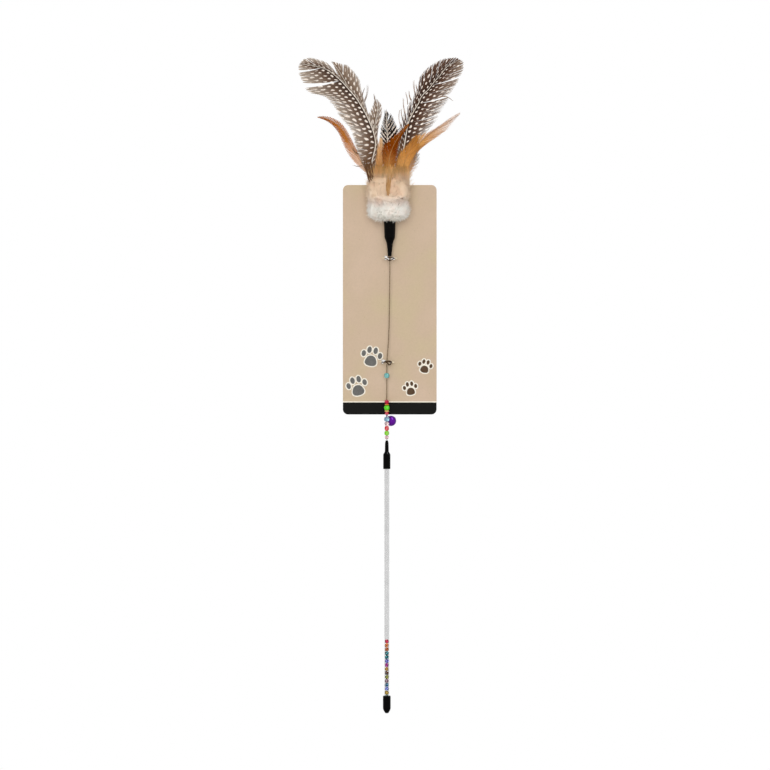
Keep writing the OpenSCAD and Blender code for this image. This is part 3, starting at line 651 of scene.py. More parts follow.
def spotted_vane(name, by_shaft, middle, by_edge, root, pitch, row, size, stretch):
    """Guinea keratin: dull brown, darkest by the shaft, grey where the barbs part and warm at the
    root, with cream spots in rows along the shaft that the pigment never reached. A spot is where
    sqrt(u^2 + (stretch v)^2) < size, u and v being the places in a cell along and off the shaft. It
    is slimmer near the edge and smaller near the tip and the root. Streaks along the barbs are as
    narrow as one of them, 0.4 mm."""
    material, tree, shader = finish(name, Roughness=0.7, Specular_IOR_Level=0.15)
    split = add(tree, "SeparateXYZ", [add(tree, "UVMap", uv_map="vane")])
    rows = add(tree, "Math", [split.outputs["Y"], row], operation="DIVIDE")
    rows = add(tree, "Math", [rows, 0.85], operation="POWER")
    rows = add(tree, "Math", [rows, 0.25], operation="SUBTRACT")
    number = add(tree, "Math", [rows], operation="FLOOR")
    shift = add(tree, "Math", [number, 0.5], operation="MULTIPLY")
    along = add(tree, "Math", [split.outputs["X"], pitch], operation="DIVIDE")
    along = add(tree, "Math", [along, shift], operation="ADD")
    cell = add(tree, "CombineXYZ", [along, rows])
    wobble = add(tree, "TexNoise", {"Vector": cell, "Scale": 0.9})
    wobble = add(tree, "VectorMath", [wobble.outputs["Color"], (0.5, 0.5, 0.5)], operation="SUBTRACT")
    wobble = add(tree, "VectorMath", [wobble, (0.9, 0.5, 0)], operation="MULTIPLY")
    cell = add(tree, "VectorMath", [cell, wobble], operation="ADD")
    cell = add(tree, "VectorMath", [cell], operation="FRACTION")
    cell = add(tree, "VectorMath", [cell, (0.5, 0.5, 0)], operation="SUBTRACT")
    height = add(tree, "Attribute", attribute_name="height").outputs["Fac"]
    reach = add(tree, "Attribute", attribute_name="reach").outputs["Fac"]
    squeeze = add(tree, "MapRange", {
        "Value": height, "From Min": 0.15, "From Max": 0.45, "To Min": 0.5, "To Max": 1.0})
    outward = add(tree, "MapRange", {"Value": reach, "From Min": 0.2, "To Min": 1.0, "To Max": stretch})
    squeeze = add(tree, "Math", [squeeze, outward], operation="MULTIPLY")
    slim = add(tree, "MapRange", {"Value": reach, "From Min": 0.2, "To Min": 1.0, "To Max": 1.45})
    squeeze = add(tree, "CombineXYZ", [slim, squeeze, 0.0])
    cell = add(tree, "VectorMath", [cell, squeeze], operation="MULTIPLY")
    far = add(tree, "VectorMath", [cell], operation="LENGTH").outputs["Value"]
    for start, stop, loss in ((0.7, 1.0, 0.35), (0.35, 0.0, 0.8)):
        shrink = add(tree, "MapRange", {
            "Value": height, "From Min": start, "From Max": stop, "To Max": size * loss})
        far = add(tree, "Math", [far, shrink], operation="ADD")
    spots = add(tree, "MapRange", {"Value": far, "From Min": size * 1.25, "From Max": size * 0.85})
    ground = add(tree, "ValToRGB", [reach], stops=[(0.0, by_shaft), (0.35, middle), (1.0, by_edge)])
    low = add(tree, "MapRange", {"Value": height, "From Min": 0.3, "From Max": 0.0, "To Max": 0.85})
    ground = add(tree, "Mix", {0: low, 6: ground, 7: linear(root)}, data_type="RGBA").outputs[2]
    fine = add(tree, "CombineXYZ", [split.outputs["X"], shift])
    streak = add(tree, "TexNoise", {"Vector": fine, "Scale": 2.6, "Detail": 2.0})
    streak = add(tree, "MapRange", {"Value": streak, "To Min": 0.5, "To Max": 1.5})
    ground = add(tree, "VectorMath", [ground, streak], operation="MULTIPLY")
    colour = add(tree, "Mix", {0: spots, 6: ground, 7: linear("f6eade")}, data_type="RGBA")
    tree.links.new(colour.outputs[2], shader.inputs["Base Color"])
    return material


def barred_vane(name, ground_code, bar_code, pitch, share):
    """Barred keratin: black-brown, with broken cream bars along the barbs, which lean from both sides
    and so make chevrons."""
    material, tree, shader = finish(name, Roughness=0.6, Specular_IOR_Level=0.15)
    split = add(tree, "SeparateXYZ", [add(tree, "UVMap", uv_map="vane")])
    wander = add(tree, "TexNoise", {"Vector": split.outputs["Y"], "Scale": 0.6})
    along = add(tree, "Math", [split.outputs["X"], pitch], operation="DIVIDE")
    along = add(tree, "Math", [along, wander], operation="ADD")
    part = add(tree, "Math", [along], operation="FRACT")
    part = add(tree, "Math", [part, 0.5], operation="SUBTRACT")
    part = add(tree, "Math", [part], operation="ABSOLUTE")
    bars = add(tree, "MapRange", {"Value": part, "From Min": share * 0.62, "From Max": share * 0.38})
    number = add(tree, "Math", [along], operation="FLOOR")
    broken = add(tree, "CombineXYZ", [number, split.outputs["Y"]])
    broken = add(tree, "TexNoise", {"Vector": broken, "Scale": 0.55})
    broken = add(tree, "MapRange", {"Value": broken, "From Min": 0.4, "From Max": 0.47})
    bars = add(tree, "Math", [bars, broken], operation="MULTIPLY")
    colour = add(tree, "Mix", {0: bars, 6: linear(ground_code), 7: linear(bar_code)}, data_type="RGBA")
    tree.links.new(colour.outputs[2], shader.inputs["Base Color"])
    return material


# Horn of a shaft: pale, hard and slightly shiny, in patches of 5 mm.
horn = clouded("feather_shaft_horn", 200.0, "d8cab8", "eee4d8", Roughness=0.45, Specular_IOR_Level=0.3)

grey_vane = spotted_vane("guinea_vane_grey", "33221a", "6e5849", "b4a494", "6e4c30", 5.0, 4.5, 0.23, 0.5)
olive_vane = spotted_vane("guinea_vane_olive", "6a5648", "86705e", "a08e7e", "7c6450", 5.2, 4.8, 0.22, 0.7)
dark_vane = spotted_vane("guinea_vane_dark", "301d14", "5c4132", "988474", "9a7658", 5.0, 4.4, 0.2, 0.6)
chevron_vane = barred_vane("guinea_vane_barred", "160b04", "f2e0d0", 3.8, 0.3)

# Each feather, in mm across and up: its shaft's route, then for both vanes the outline, how far the
# barbs lean forward and how much their ends thin, from the root to the tip, and where the vane
# parts. Wisps and fluff are barbs that have come loose.
GUINEA_SEED = 100
WISP_SINK = 0.3
GUINEAS = {
    "guinea_feather_left": dict(
        vane=grey_vane, y=-5.0, bow=2.0, curl=4.0,
        route=[(-19.6, 20.7), (-16.5, 35), (-13.4, 50), (-16, 63.5), (-22.5, 78.5), (-30.5, 92),
               (-37.5, 100.5), (-47, 111), (-58.5, 120), (-69.5, 124), (-82.5, 126)],
        left=[(-21, 20.7), (-28, 36), (-32, 47), (-36, 62), (-40.5, 69), (-46.5, 75.5), (-50.5, 83),
              (-56, 90), (-60.5, 94.5), (-65, 96.5), (-72, 98), (-77.5, 100.5), (-81, 105),
              (-82.5, 110), (-85, 115.5), (-86.5, 121), (-85.5, 126.5)],
        left_leads=[0.02, 0.0, 0.03, 0.07, 0.11, 0.13, 0.13, 0.12, 0.1, 0.06, 0.0],
        left_fray=[0.2, 0.25, 0.3, 0.3, 0.25, 0.2, 0.1, 0.1, 0.15, 0.2],
        left_gaps=[(-80, 106, 0.021, 0.045), (-86, 119, 0.012, 0.02), (-36.5, 63, 0.004, 0.03),
                   (-58, 92, 0.004, 0.02)],
        right=[(-16, 20.7), (-13, 36), (-11, 50), (-13.5, 63.5), (-20, 78.5), (-28, 92), (-35, 101.5),
               (-44.5, 110.5), (-51, 118), (-55, 123), (-60.5, 128), (-68, 130.5), (-75.5, 132),
               (-81.5, 130.5), (-85, 127)],
        right_leads=[0.03, 0.03, 0.02, 0.02, 0.02, 0.03, 0.04, 0.06, 0.07, 0.05, 0.0],
        right_fray=[0.3, 0.2, 0.2], right_gaps=[(-80, 131.5, 0.006, 0.02)],
        wisps=[((-26.5, 30), (-34.5, 30.5), 0.8), ((-30, 41), (-36, 47), 0.6)],
        fluff=[((-17, 15), (-24, 31), 0.8), ((-19, 14), (-22, 34), 0.6), ((-16, 17), (-20, 35), 0.5),
               ((-20, 16), (-24.5, 36), 0.4), ((-18, 18), (-23, 36), -0.5), ((-15, 18), (-18, 36), 0.2)]),
    "guinea_feather_behind": dict(
        vane=olive_vane, y=-2.2, bow=0.5, curl=1.0,
        route=[(-12, 20.7), (-14.5, 45), (-18, 64), (-24.5, 78.5), (-32, 93), (-39, 104),
               (-46.5, 117.5), (-54, 128)],
        left=[(-14, 20.7), (-17, 45), (-20.5, 64), (-28, 79.5), (-36, 93), (-42.5, 104), (-49, 115.5),
              (-53, 125), (-55.5, 129)], left_leads=[0.04, 0.04, 0.04, 0.03, 0.0],
        left_fray=[0.15, 0.15], left_gaps=[],
        right=[(-10, 20.7), (-11, 45), (-13, 61.5), (-17.5, 74), (-21, 81.5), (-23.5, 91), (-25.5, 97),
               (-27.5, 105), (-29, 112.5), (-35, 120.5), (-40.5, 125.5), (-47, 127), (-54, 129)],
        right_leads=[0.06, 0.07, 0.08, 0.1, 0.1, 0.07, 0.0], right_fray=[0.2, 0.2, 0.2, 0.15],
        right_gaps=[(-24, 93, 0.01, 0.03), (-44, 127, 0.008, 0.03)],
        wisps=[((-24, 91), (-21, 107), -1.0), ((-48.5, 124.5), (-55.5, 129), 0.4),
               ((-26, 97), (-23.5, 104), 0.3)]),
    "guinea_feather_small": dict(
        vane=olive_vane, y=-4.0, bow=0.5, curl=1.0,
        route=[(-8, 20.7), (-11, 45), (-14, 59.5), (-14, 69), (-11.8, 80.5), (-11.8, 88)],
        left=[(-9, 20.7), (-13, 45), (-17, 58), (-20.4, 68), (-20.6, 77), (-17.5, 84), (-15, 91),
              (-14, 95)], left_leads=[0.05, 0.06, 0.07, 0.06, 0.0], left_fray=[0.6, 0.5, 0.3],
        left_gaps=[(-20, 72, 0.02, 0.03)],
        right=[(-7, 20.7), (-9.5, 45), (-12, 56), (-10.5, 66), (-8, 76), (-7.2, 81), (-7.8, 87),
               (-10.5, 91.5), (-13, 94)], right_leads=[0.05, 0.06, 0.08, 0.08, 0.0],
        right_fray=[0.6, 0.6, 0.3], right_gaps=[(-9, 73, 0.03, 0.03)],
        wisps=[((-13.3, 89), (-14.3, 98), 0.2), ((-12.8, 87), (-14, 96), 0.3)]),
    "guinea_feather_centre": dict(
        vane=chevron_vane, y=-3.0, bow=0.5, curl=0.5,
        route=[(-1.5, 20.7), (-1.5, 40), (-2, 55), (-2.8, 68), (-3.2, 79)],
        left=[(-4, 20.7), (-7.5, 40), (-9.4, 54), (-8.6, 65), (-6.4, 74), (-4, 82.5)],
        left_leads=[0.1, 0.1, 0.12, 0.1, 0.0], left_fray=[0.5, 0.4],
        left_gaps=[(-7.5, 70, 0.015, 0.03)],
        right=[(2, 20.7), (6.5, 40), (8.6, 55), (8.6, 62), (5, 71.5), (2, 78), (-1, 80), (-3.4, 83)],
        right_leads=[0.1, 0.1, 0.12, 0.1, 0.0], right_fray=[0.4, 0.3],
        right_gaps=[(0.2, 79, 0.02, 0.03)],
        wisps=[((-3.6, 74), (-4.2, 83.5), 0.2), ((0.8, 70), (0.2, 79.5), 0.4),
               ((6, 62), (9.5, 66), 0.2)]),
    "guinea_feather_right": dict(
        vane=dark_vane, y=-6.0, bow=1.5, curl=-4.0,
        route=[(6.3, 20.7), (11, 36), (13.6, 48), (17.4, 69.5), (21.7, 79.5), (27.2, 89), (30.2, 95.6),
               (37, 102.7), (42, 109.4), (48.4, 116.5), (54.4, 124), (62.5, 129)],
        left=[(4, 20.7), (6, 36), (6.5, 50), (9, 65), (11, 74), (14, 81), (17.5, 88), (21.5, 95),
              (25, 101), (27, 106), (28, 113), (32.5, 119.5), (37, 123.5), (45.5, 129), (50.5, 131),
              (57, 132.2), (63, 132.7), (66.5, 131)],
        left_leads=[0.06, 0.07, 0.08, 0.08, 0.08, 0.08, 0.09, 0.1, 0.08, 0.05, 0.0],
        left_fray=[0.3, 0.4, 0.6, 0.8, 0.7, 0.2, 0.05, 0.05, 0.05], left_fade=0.45,
        left_gaps=[(11, 74, 0.012, 0.02), (16, 85, 0.012, 0.02), (22, 96, 0.012, 0.015),
                   (27.5, 109, 0.01, 0.02), (48, 130, 0.004, 0.02)],
        right=[(9, 20.7), (16, 32), (22, 45), (29, 55), (39, 66), (44, 73), (48.5, 82.5), (54.5, 91),
               (58, 99.5), (63.5, 108), (66.5, 114.5), (68.5, 118.5), (70, 124), (69.3, 129),
               (66.5, 131)],
        right_leads=[0.06, 0.08, 0.1, 0.12, 0.13, 0.13, 0.13, 0.12, 0.1, 0.06, 0.0],
        right_fray=[0.3, 0.45, 0.7, 0.75, 0.65, 0.5, 0.25, 0.1, 0.05],
        right_gaps=[(66.5, 115, 0.012, 0.04), (58, 97, 0.014, 0.03), (46.5, 79, 0.006, 0.02)],
        wisps=[((10, 68), (9.3, 83), 1.2), ((14.5, 79), (13.3, 94), 0.6), ((17, 88), (15.3, 100), -0.4),
               ((24.8, 95), (22.6, 111), 0.5), ((20, 92), (18.5, 101), 0.5),
               ((12.5, 73), (11.5, 84), 0.5), ((47.5, 95.5), (60, 91.5), 2.0),
               ((26.5, 101), (25.5, 107), 0.3)]),
}
for number, (node, f) in enumerate(GUINEAS.items()):
    rng = np.random.default_rng(GUINEA_SEED + number)
    shaft = bent(f["route"], f["y"], f["bow"], f["curl"])
    parts = [barbs(shaft, f[side], f[side + "_leads"], rng, fray=f[side + "_fray"], gaps=f[side + "_gaps"],
                   fade=f.get(side + "_fade", 1.0)) for side in ("left", "right")]
    parts.append(wisps(f["wisps"], f["y"] - f["curl"] * WISP_SINK, rng))
    if "fluff" in f:
        parts.append(wisps(f["fluff"], FLUFF_Y, rng, thickness=0.16, strands=18))
    points, faces, uv, reach, height = ribbons(parts)
    vane = make(node + "_vane", points, faces, f["vane"], uv, reach=reach, height=height)
    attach(vane, "lure")
    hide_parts(node)
    shaft_piece = quill(node + "_shaft", shaft, SHAFT_R, horn)


# Hackles: dyed cock's neck feathers, long and silky, whose barbs lie nearly along the shaft and come
# apart towards the tip. The thin one on the left lies behind the large spotted feather.
def dyed_hackle(name, root, middle, tip, turn):
    """Dyed keratin: satin orange, in streaks of three barbs or 0.9 mm of the shaft, from the root's tone
    to the tip's. turn is where the root's tone ends and where the middle one is reached."""
    material, tree, shader = finish(name, Roughness=0.6, Specular_IOR_Level=0.05)
    uv_map = add(tree, "UVMap", uv_map="vane")
    streak = add(tree, "TexNoise", {"Vector": uv_map, "Scale": 1.1, "Detail": 4.0})
    height = add(tree, "Attribute", attribute_name="height").outputs["Fac"]
    reach = add(tree, "Attribute", attribute_name="reach").outputs["Fac"]
    far = add(tree, "Math", [reach, 0.25], operation="MULTIPLY")
    far = add(tree, "Math", [far, height], operation="ADD")
    base = add(tree, "ValToRGB", [far], stops=[(turn[0], root), (turn[1], middle), (1.0, tip)])
    shade = add(tree, "MapRange", {"Value": streak, "To Min": 0.4, "To Max": 1.6})
    colour = add(tree, "VectorMath", [base, shade], operation="MULTIPLY")
    tree.links.new(colour.outputs[0], shader.inputs["Base Color"])
    return material


HACKLE_SEED = 200
HACKLE_PITCH = 0.3
HACKLE_TURN = (0.12, 0.5)
HACKLE_RAGGED = 0.08
HACKLE_BEND = 0.16
HACKLE_LAYERS = (0.5, 1.5)
HACKLE_COVER, TUFT_COVER = 1.1, 0.5
HACKLE_SHAFT_R = 0.3
HACKLE_LEADS = [0.12, 0.16, 0.2, 0.22, 0.2, 0.12, 0.0]
HACKLES = {
    "hackle_left": dict(
        y=-2.6, bow=0.0, curl=1.0, tones=("eac8ac", "c47a36", "b0641a"), turn=(0.25, 0.55), ragged=0.02,
        fray=(0.9, 0.7, 0.3, 0.1),
        route=[(-17, 20.7), (-27.5, 34), (-34.5, 45), (-40, 56), (-45.5, 65), (-53, 71.5), (-61, 75),
               (-68.5, 76.2)],
        left=[(-20, 20.7), (-31.5, 31), (-39.5, 41), (-44.5, 51), (-48.5, 60.5), (-54, 68), (-61, 73),
              (-68.7, 75.8)],
        right=[(-15, 20.7), (-24, 33), (-30.5, 44), (-35.5, 54), (-41, 64.5), (-47.5, 72), (-55, 75.8),
               (-62, 77.2), (-68.7, 76.6)]),
    "hackle_centre": dict(
        y=-10.0, bow=3.0, curl=0.5, tones=("c88a48", "8a3e00", "9c5408"), fray=(0.5, 0.2, 0.3),
        route=[(-1.5, 20.7), (-0.8, 33), (1.3, 43), (5.5, 52), (11, 61), (17.6, 69.4)],
        left=[(-3.5, 20.7), (-6, 30), (-7.3, 40), (-5.5, 47.5), (0.3, 54), (7, 59.5), (12.5, 65),
              (17.4, 69.5)],
        right=[(1.5, 20.7), (5.5, 30), (7, 40), (7.5, 47), (10, 54.5), (13.6, 61), (17, 66),
               (18.5, 69.2)]),
    "hackle_right": dict(
        y=-8.0, bow=2.0, curl=0.0, tones=("e2ac68", "d0904a", "bc7a34"), fray=(0.6, 0.4, 0.6),
        route=[(9, 20.7), (13, 30), (17, 40), (21.5, 49), (25, 58)],
        left=[(5, 20.7), (5.5, 31), (8, 39), (12, 44.5), (18, 50.5), (24.8, 59)],
        right=[(17, 20.7), (23, 30), (26, 40), (27.5, 48), (27, 54), (25.5, 59.5)]),
    "hackle_strip": dict(
        y=-7.0, bow=1.0, curl=0.0, tones=("c88c50", "dca468", "e8c090"), fray=(0.6, 0.5, 0.8),
        route=[(-9, 20.7), (-9.3, 32), (-9, 44), (-8.2, 56)],
        left=[(-13, 20.7), (-13.5, 32), (-12, 45), (-9.5, 56.5)],
        right=[(-3.5, 20.7), (-3.5, 32), (-5, 45), (-7.5, 56.5)]),
    "hackle_far_right": dict(
        y=-7.0, bow=0.5, curl=2.0, tones=("d29850", "d8a05e", "ecdcd2"),
        fray=(0.4, 0.3, 0.5, 0.85, 0.9), pitch=0.36,
        route=[(16, 20.7), (20, 38), (27, 50), (39, 60), (53, 69.5), (66.5, 79)],
        left=[(12, 20.7), (14.5, 36), (17, 48), (22, 56), (31, 59.5), (39, 62.8), (50, 70),
              (59.5, 76.8), (67, 80.5)],
        right=[(18, 20.7), (23, 34), (26.5, 43), (32, 48.5), (38.5, 53), (46, 58), (53, 63.5),
               (60, 71.5), (67, 79)]),
    "down_tuft": dict(
        y=-9.5, bow=1.0, curl=0.0, tones=("d0a888", "8e7a68", "92847a"), turn=(0.35, 0.75),
        fray=(0.9, 0.9), pitch=0.7, route=[(15.7, 20.7), (20, 27), (24, 34), (26.5, 41)],
        left=[(15, 20.7), (18.5, 30), (22, 38), (26, 44)],
        right=[(18, 20.7), (24.5, 26), (28, 33), (28.5, 42)]),
}
# The centre hackle's stem bows out in front of the cream down, with fluff along it.
STEM_SHARE = 1.9
STEM_FLUFF_Y = -24.9
STEM_FRONT = [(-0.6, -12, -10), (-1.2, -18, -3), (-1.4, -24.2, 4), (-1.3, -24.8, 10), (-1.1, -23, 16)]
STEM_FLUFF = [((-2.4, 1), (-2.3, 15), 0.2), ((-0.2, 2), (-0.3, 16), -0.2), ((-1.3, 5), (-1, 21), 0.1),
              ((-3, 5), (-2.4, 20), 0.3), ((0.3, 7), (3, 27), 0.4)]
# Dyed horn: golden brown, in patches of 8 mm.
stem_horn = clouded("dyed_shaft_horn", 120.0, "b07e46", "cca06c", Roughness=0.5, Specular_IOR_Level=0.2)
for number, (node, f) in enumerate(HACKLES.items()):
    rng = np.random.default_rng(HACKLE_SEED + number)
    shaft = bent(f["route"], f["y"], f["bow"], f["curl"])
    tuft = node == "down_tuft"
    pitch, ragged = f.get("pitch", HACKLE_PITCH), f.get("ragged", HACKLE_RAGGED)
    cover = TUFT_COVER if tuft else HACKLE_COVER
    parts = [barbs(shaft, f[side], HACKLE_LEADS, rng, pitch=pitch, fray=f["fray"], cup=layer,
                   bend=HACKLE_BEND, ragged=ragged, cover=cover)
             for side in ("left", "right") for layer in HACKLE_LAYERS]
    points, faces, uv, reach, height = ribbons(parts)
    dye = dyed_hackle("dyed_" + node, *f["tones"], f.get("turn", HACKLE_TURN))
    vane = make(node + "_vane", points, faces, dye, uv, reach=reach, height=height)
    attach(vane, "lure")
    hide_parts(node)
    front = STEM_FRONT if node == "hackle_centre" else ()
    stem = STEM_SHARE if front else 1.0
    shaft_piece = quill(node + "_shaft", shaft, HACKLE_SHAFT_R, stem_horn, front, stem)
    if front:
        loose = wisps(STEM_FLUFF, STEM_FLUFF_Y, rng, thickness=0.15, strands=9)
        points, faces, uv, *_ = ribbons([loose])
        stem_fluff = make("hackle_centre_stem_fluff", points, faces, stem_horn, uv)
        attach(stem_fluff, "lure")


# Down: two puffs of marabou wound about the quills over the socket, white below and cream above, and
# the loose down at the roots of the hackles. Each puff is a soft core with thousands of fine curling
# fibres, pressed flat where it lies on the card.
FIBRE_POINTS = 7
FIBRE_HALF = 0.24
DOWN_BACK_Y = -0.8


def fibres(start, way, length, curl, half, rng, back_y, out):
    """Fibres p = start + way length q + curl (e q^2 + f sin(3 q) / 2), e and f being unit vectors at
    random, kept in front of the card. Their width goes from half to a third of it, and each shows its
    front to the way out."""
    count = len(start)
    e = unit(rng.standard_normal((count, 3)))
    f = unit(np.cross(way, e))
    q = np.linspace(0, 1, FIBRE_POINTS)[None, :, None]
    middle = start[:, None] + way[:, None] * length[:, None, None] * q
    middle = middle + curl * (e[:, None] * q**2 + 0.5 * f[:, None] * np.sin(3 * q))
    across = unit(np.cross(way, out) + 0.3 * e)[:, None] * half * (1 - 0.65 * q)
    across = across * np.sign((np.cross(across[:, 0], way) * out).sum(-1))[:, None, None]
    points = np.stack([middle - across, middle + across], 2)
    points[..., 1] = np.minimum(points[..., 1], back_y)
    marks = np.broadcast_to(q, points.shape[:3])
    return points, np.zeros(points.shape[:3] + (2,)), marks, marks


CORE_TURNS = 64
CORE_ROWS = 33
LUMPS = 9


def core(centre, radii, square, rough, rng, back_y):
    """A lumpy rounded box: centre + radii sign(n) |n|^square (1 + rough s), n being the direction and s
    a sum of sines of it. square is one number or one for each axis."""
    a = np.linspace(0, 2 * np.pi, CORE_TURNS + 1)[None, :-1]
    b = np.linspace(-np.pi / 2, np.pi / 2, CORE_ROWS)[:, None]
    n = np.stack([np.cos(b) * np.cos(a), np.cos(b) * np.sin(a), np.sin(b) + 0 * a], -1)
    lump = np.zeros(n.shape[:2])
    for _ in range(LUMPS):
        k = rng.uniform(2, 6) * unit(rng.standard_normal(3))
        lump += np.sin(n @ k * 2 + rng.uniform(0, 6)) / 3
    box = np.sign(n) * np.abs(n) ** square * np.asarray(radii)
    points = np.asarray(centre) + box * (1 + rough * lump[..., None])
    points[..., 1] = np.minimum(points[..., 1], back_y)
    return points.reshape(-1, 3), quads(CORE_ROWS, CORE_TURNS, wrap=True)


# Marabou: dull and pale, white at the socket, cream above it and dyed gold where the hackles begin,
# in patches of close tones 9 to 13 mm wide, with streaks 4 mm wide that run up the gold.
marabou, tree, shader = finish("marabou_down", Roughness=1.0, Specular_IOR_Level=0.05)
place = add(tree, "TexCoord").outputs["Object"]
patch = add(tree, "TexNoise", {"Vector": place, "Scale": 75.0, "Detail": 3.0})
shift = add(tree, "MapRange", {"Value": patch, "To Min": -0.0045, "To Max": 0.0045})
split = add(tree, "SeparateXYZ", [place])
level = add(tree, "Math", [split.outputs["Z"], shift], operation="ADD")
level = add(tree, "MapRange", {"Value": level, "From Min": -0.024, "From Max": 0.036})
tone = add(tree, "ValToRGB", [level], stops=[
    (0.0, "f4f0e8"), (0.2, "faf7f0"), (0.3, "f8eade"), (0.42, "f2dac0"), (0.66, "efd4b6"), (0.78, "e2b47c"),
    (0.95, "cf964c")])
drawn = add(tree, "VectorMath", [place, (1, 1, 0.12)], operation="MULTIPLY")
streak = add(tree, "TexNoise", {"Vector": drawn, "Scale": 260.0, "Detail": 2.0})
depth = add(tree, "MapRange", {"Value": level, "From Min": 0.6, "From Max": 0.85, "To Max": 0.9})
streak = add(tree, "MapRange", {
    "Value": streak, "From Min": 0.3, "From Max": 0.7, "To Min": -0.5, "To Max": 0.4})
streak = add(tree, "Math", [streak, depth], operation="MULTIPLY")
streak = add(tree, "Math", [streak, 1.0], operation="ADD")
tone = add(tree, "VectorMath", [tone, streak], operation="MULTIPLY")
hue = add(tree, "TexNoise", {"Vector": place, "Scale": 110.0})
hue = add(tree, "ValToRGB", [hue], stops=[(0.35, "fcfbf8"), (0.5, "ffffff"), (0.65, "fff9f6")])
tone = add(tree, "VectorMath", [tone, hue], operation="MULTIPLY")
tree.links.new(tone.outputs[0], shader.inputs["Base Color"])

PUFF_SQUARE = 0.68
PUFF_ROUGH = 0.04
CORE_SHARE, START_SHARE = 1.02, 0.86
OUTWARD, STRAY, LOWEST_WAY = 0.75, 0.45, -0.3
FACING = [0, -1.05, 0.2]
PUFF_CURL = 1.4
PUFF_LENGTHS = (3, 6)
DOWNS = {
    "white_down": dict(centre=(-1.2, -10.8, -12.0), radii=(18, 11.5, 8.9), flow=0.3, count=8000, seed=301),
    "cream_down": dict(centre=(-1.6, -10.8, 6.2), radii=(18.5, 11.5, 14.0), flow=0.4, count=9000, seed=302),
}
for node, d in DOWNS.items():
    rng = np.random.default_rng(d["seed"])
    centre, radii = np.array(d["centre"]), np.array(d["radii"])
    lump = core(centre, radii * CORE_SHARE, PUFF_SQUARE, PUFF_ROUGH, rng, DOWN_BACK_Y)
    puff = make(node + "_core", *lump, marabou, weld=True)
    n = unit(rng.standard_normal((d["count"], 3)))
    start = centre + np.sign(n) * np.abs(n) ** PUFF_SQUARE * radii * START_SHARE
    way = OUTWARD * n + [0, 0, d["flow"]] + STRAY * rng.standard_normal(n.shape)
    way[:, 2] = np.maximum(way[:, 2], LOWEST_WAY)
    way = unit(way)
    out = unit(n + FACING)
    length = rng.uniform(*PUFF_LENGTHS, d["count"])
    strands = fibres(start, way, length, PUFF_CURL, FIBRE_HALF, rng, DOWN_BACK_Y, out)
    points, faces, uv, *_ = ribbons([strands])
    normals = np.repeat(out, 2 * FIBRE_POINTS, axis=0)
    fluff = make(node + "_fibres", points, faces, marabou, uv, normals=normals)
    for piece in (puff, fluff):
        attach(piece, "lure")
    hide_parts(node)

# The loose down fills a box from one corner to the other and stands up out of it.
ROOT_FIBRES = 5000
ROOT_CORNERS = ((-17, -17, 6), (16, -7, 21))
ROOT_CURL = 2.0
ROOT_LENGTHS = (5, 11)
ROOT_LEAN, ROOT_STRAY, ROOT_FACING = 0.01, 0.3, 0.05
ROOT_SEED = 303
rng = np.random.default_rng(ROOT_SEED)
start = rng.uniform(*ROOT_CORNERS, (ROOT_FIBRES, 3))
lift = start * [ROOT_LEAN, 0, 0] + [0, 0, 1]
way = unit(lift + ROOT_STRAY * rng.standard_normal(lift.shape))
out = unit(start * [ROOT_FACING, 0, 0] + [0, -1, 0.2])
length = rng.uniform(*ROOT_LENGTHS, ROOT_FIBRES)
strands = fibres(start, way, length, ROOT_CURL, FIBRE_HALF, rng, DOWN_BACK_Y, out)
points, faces, uv, *_ = ribbons([strands])
normals = np.repeat(out, 2 * FIBRE_POINTS, axis=0)
root_down = make("hackle_root_down", points, faces, marabou, uv, normals=normals)
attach(root_down, "lure")

# Beads: moulded acrylic beads threaded on the string, each with a hole through it. The turquoise one
# sits alone under the lower tie, five hang over the card's foot and five below the bell's eye.
HOLE_R = 0.6
HOLE_SHARE = 0.3
BEAD_ROUND = 0.75
BEAD_ROWS = 25
BEAD_SIDES = 48
BEADS = {
    "turquoise_bead": (5.08, 4.83, "7ccac8", 0.3, "loose_bead", "turquoise"),
    "bead_crimson_top": (4.21, 3.82, "b8143c", 0.0, "upper_beads", "crimson"),
    "bead_orange_ring": (4.21, 1.2, "e07a22", 0.0, "upper_beads", "orange"),
    "bead_lime_top": (5.4, 4.6, "5fd81e", 0.0, "upper_beads", "lime"),
    "bead_cream": (4.32, 1.52, "e8c070", 0.0, "upper_beads", "cream"),
    "bead_crimson_low": (3.89, 2.71, "c2123a", 0.0, "upper_beads", "crimson"),
    "bead_pale_blue": (5.29, 4.51, "9cc8dc", 0.5, "lower_beads", "pale_blue"),
    "bead_pink_clear": (4.48, 4.0, "f0d8d8", 0.6, "lower_beads", "pink_clear"),
    "bead_red": (4.21, 4.51, "d11f2a", 0.0, "lower_beads", "red"),
    "bead_lime_low": (4.7, 4.28, "86d426", 0.0, "lower_beads", "lime_low"),
    "bead_pale_pink": (3.73, 3.5, "efc8d0", 0.5, "lower_beads", "pale_pink"),
}
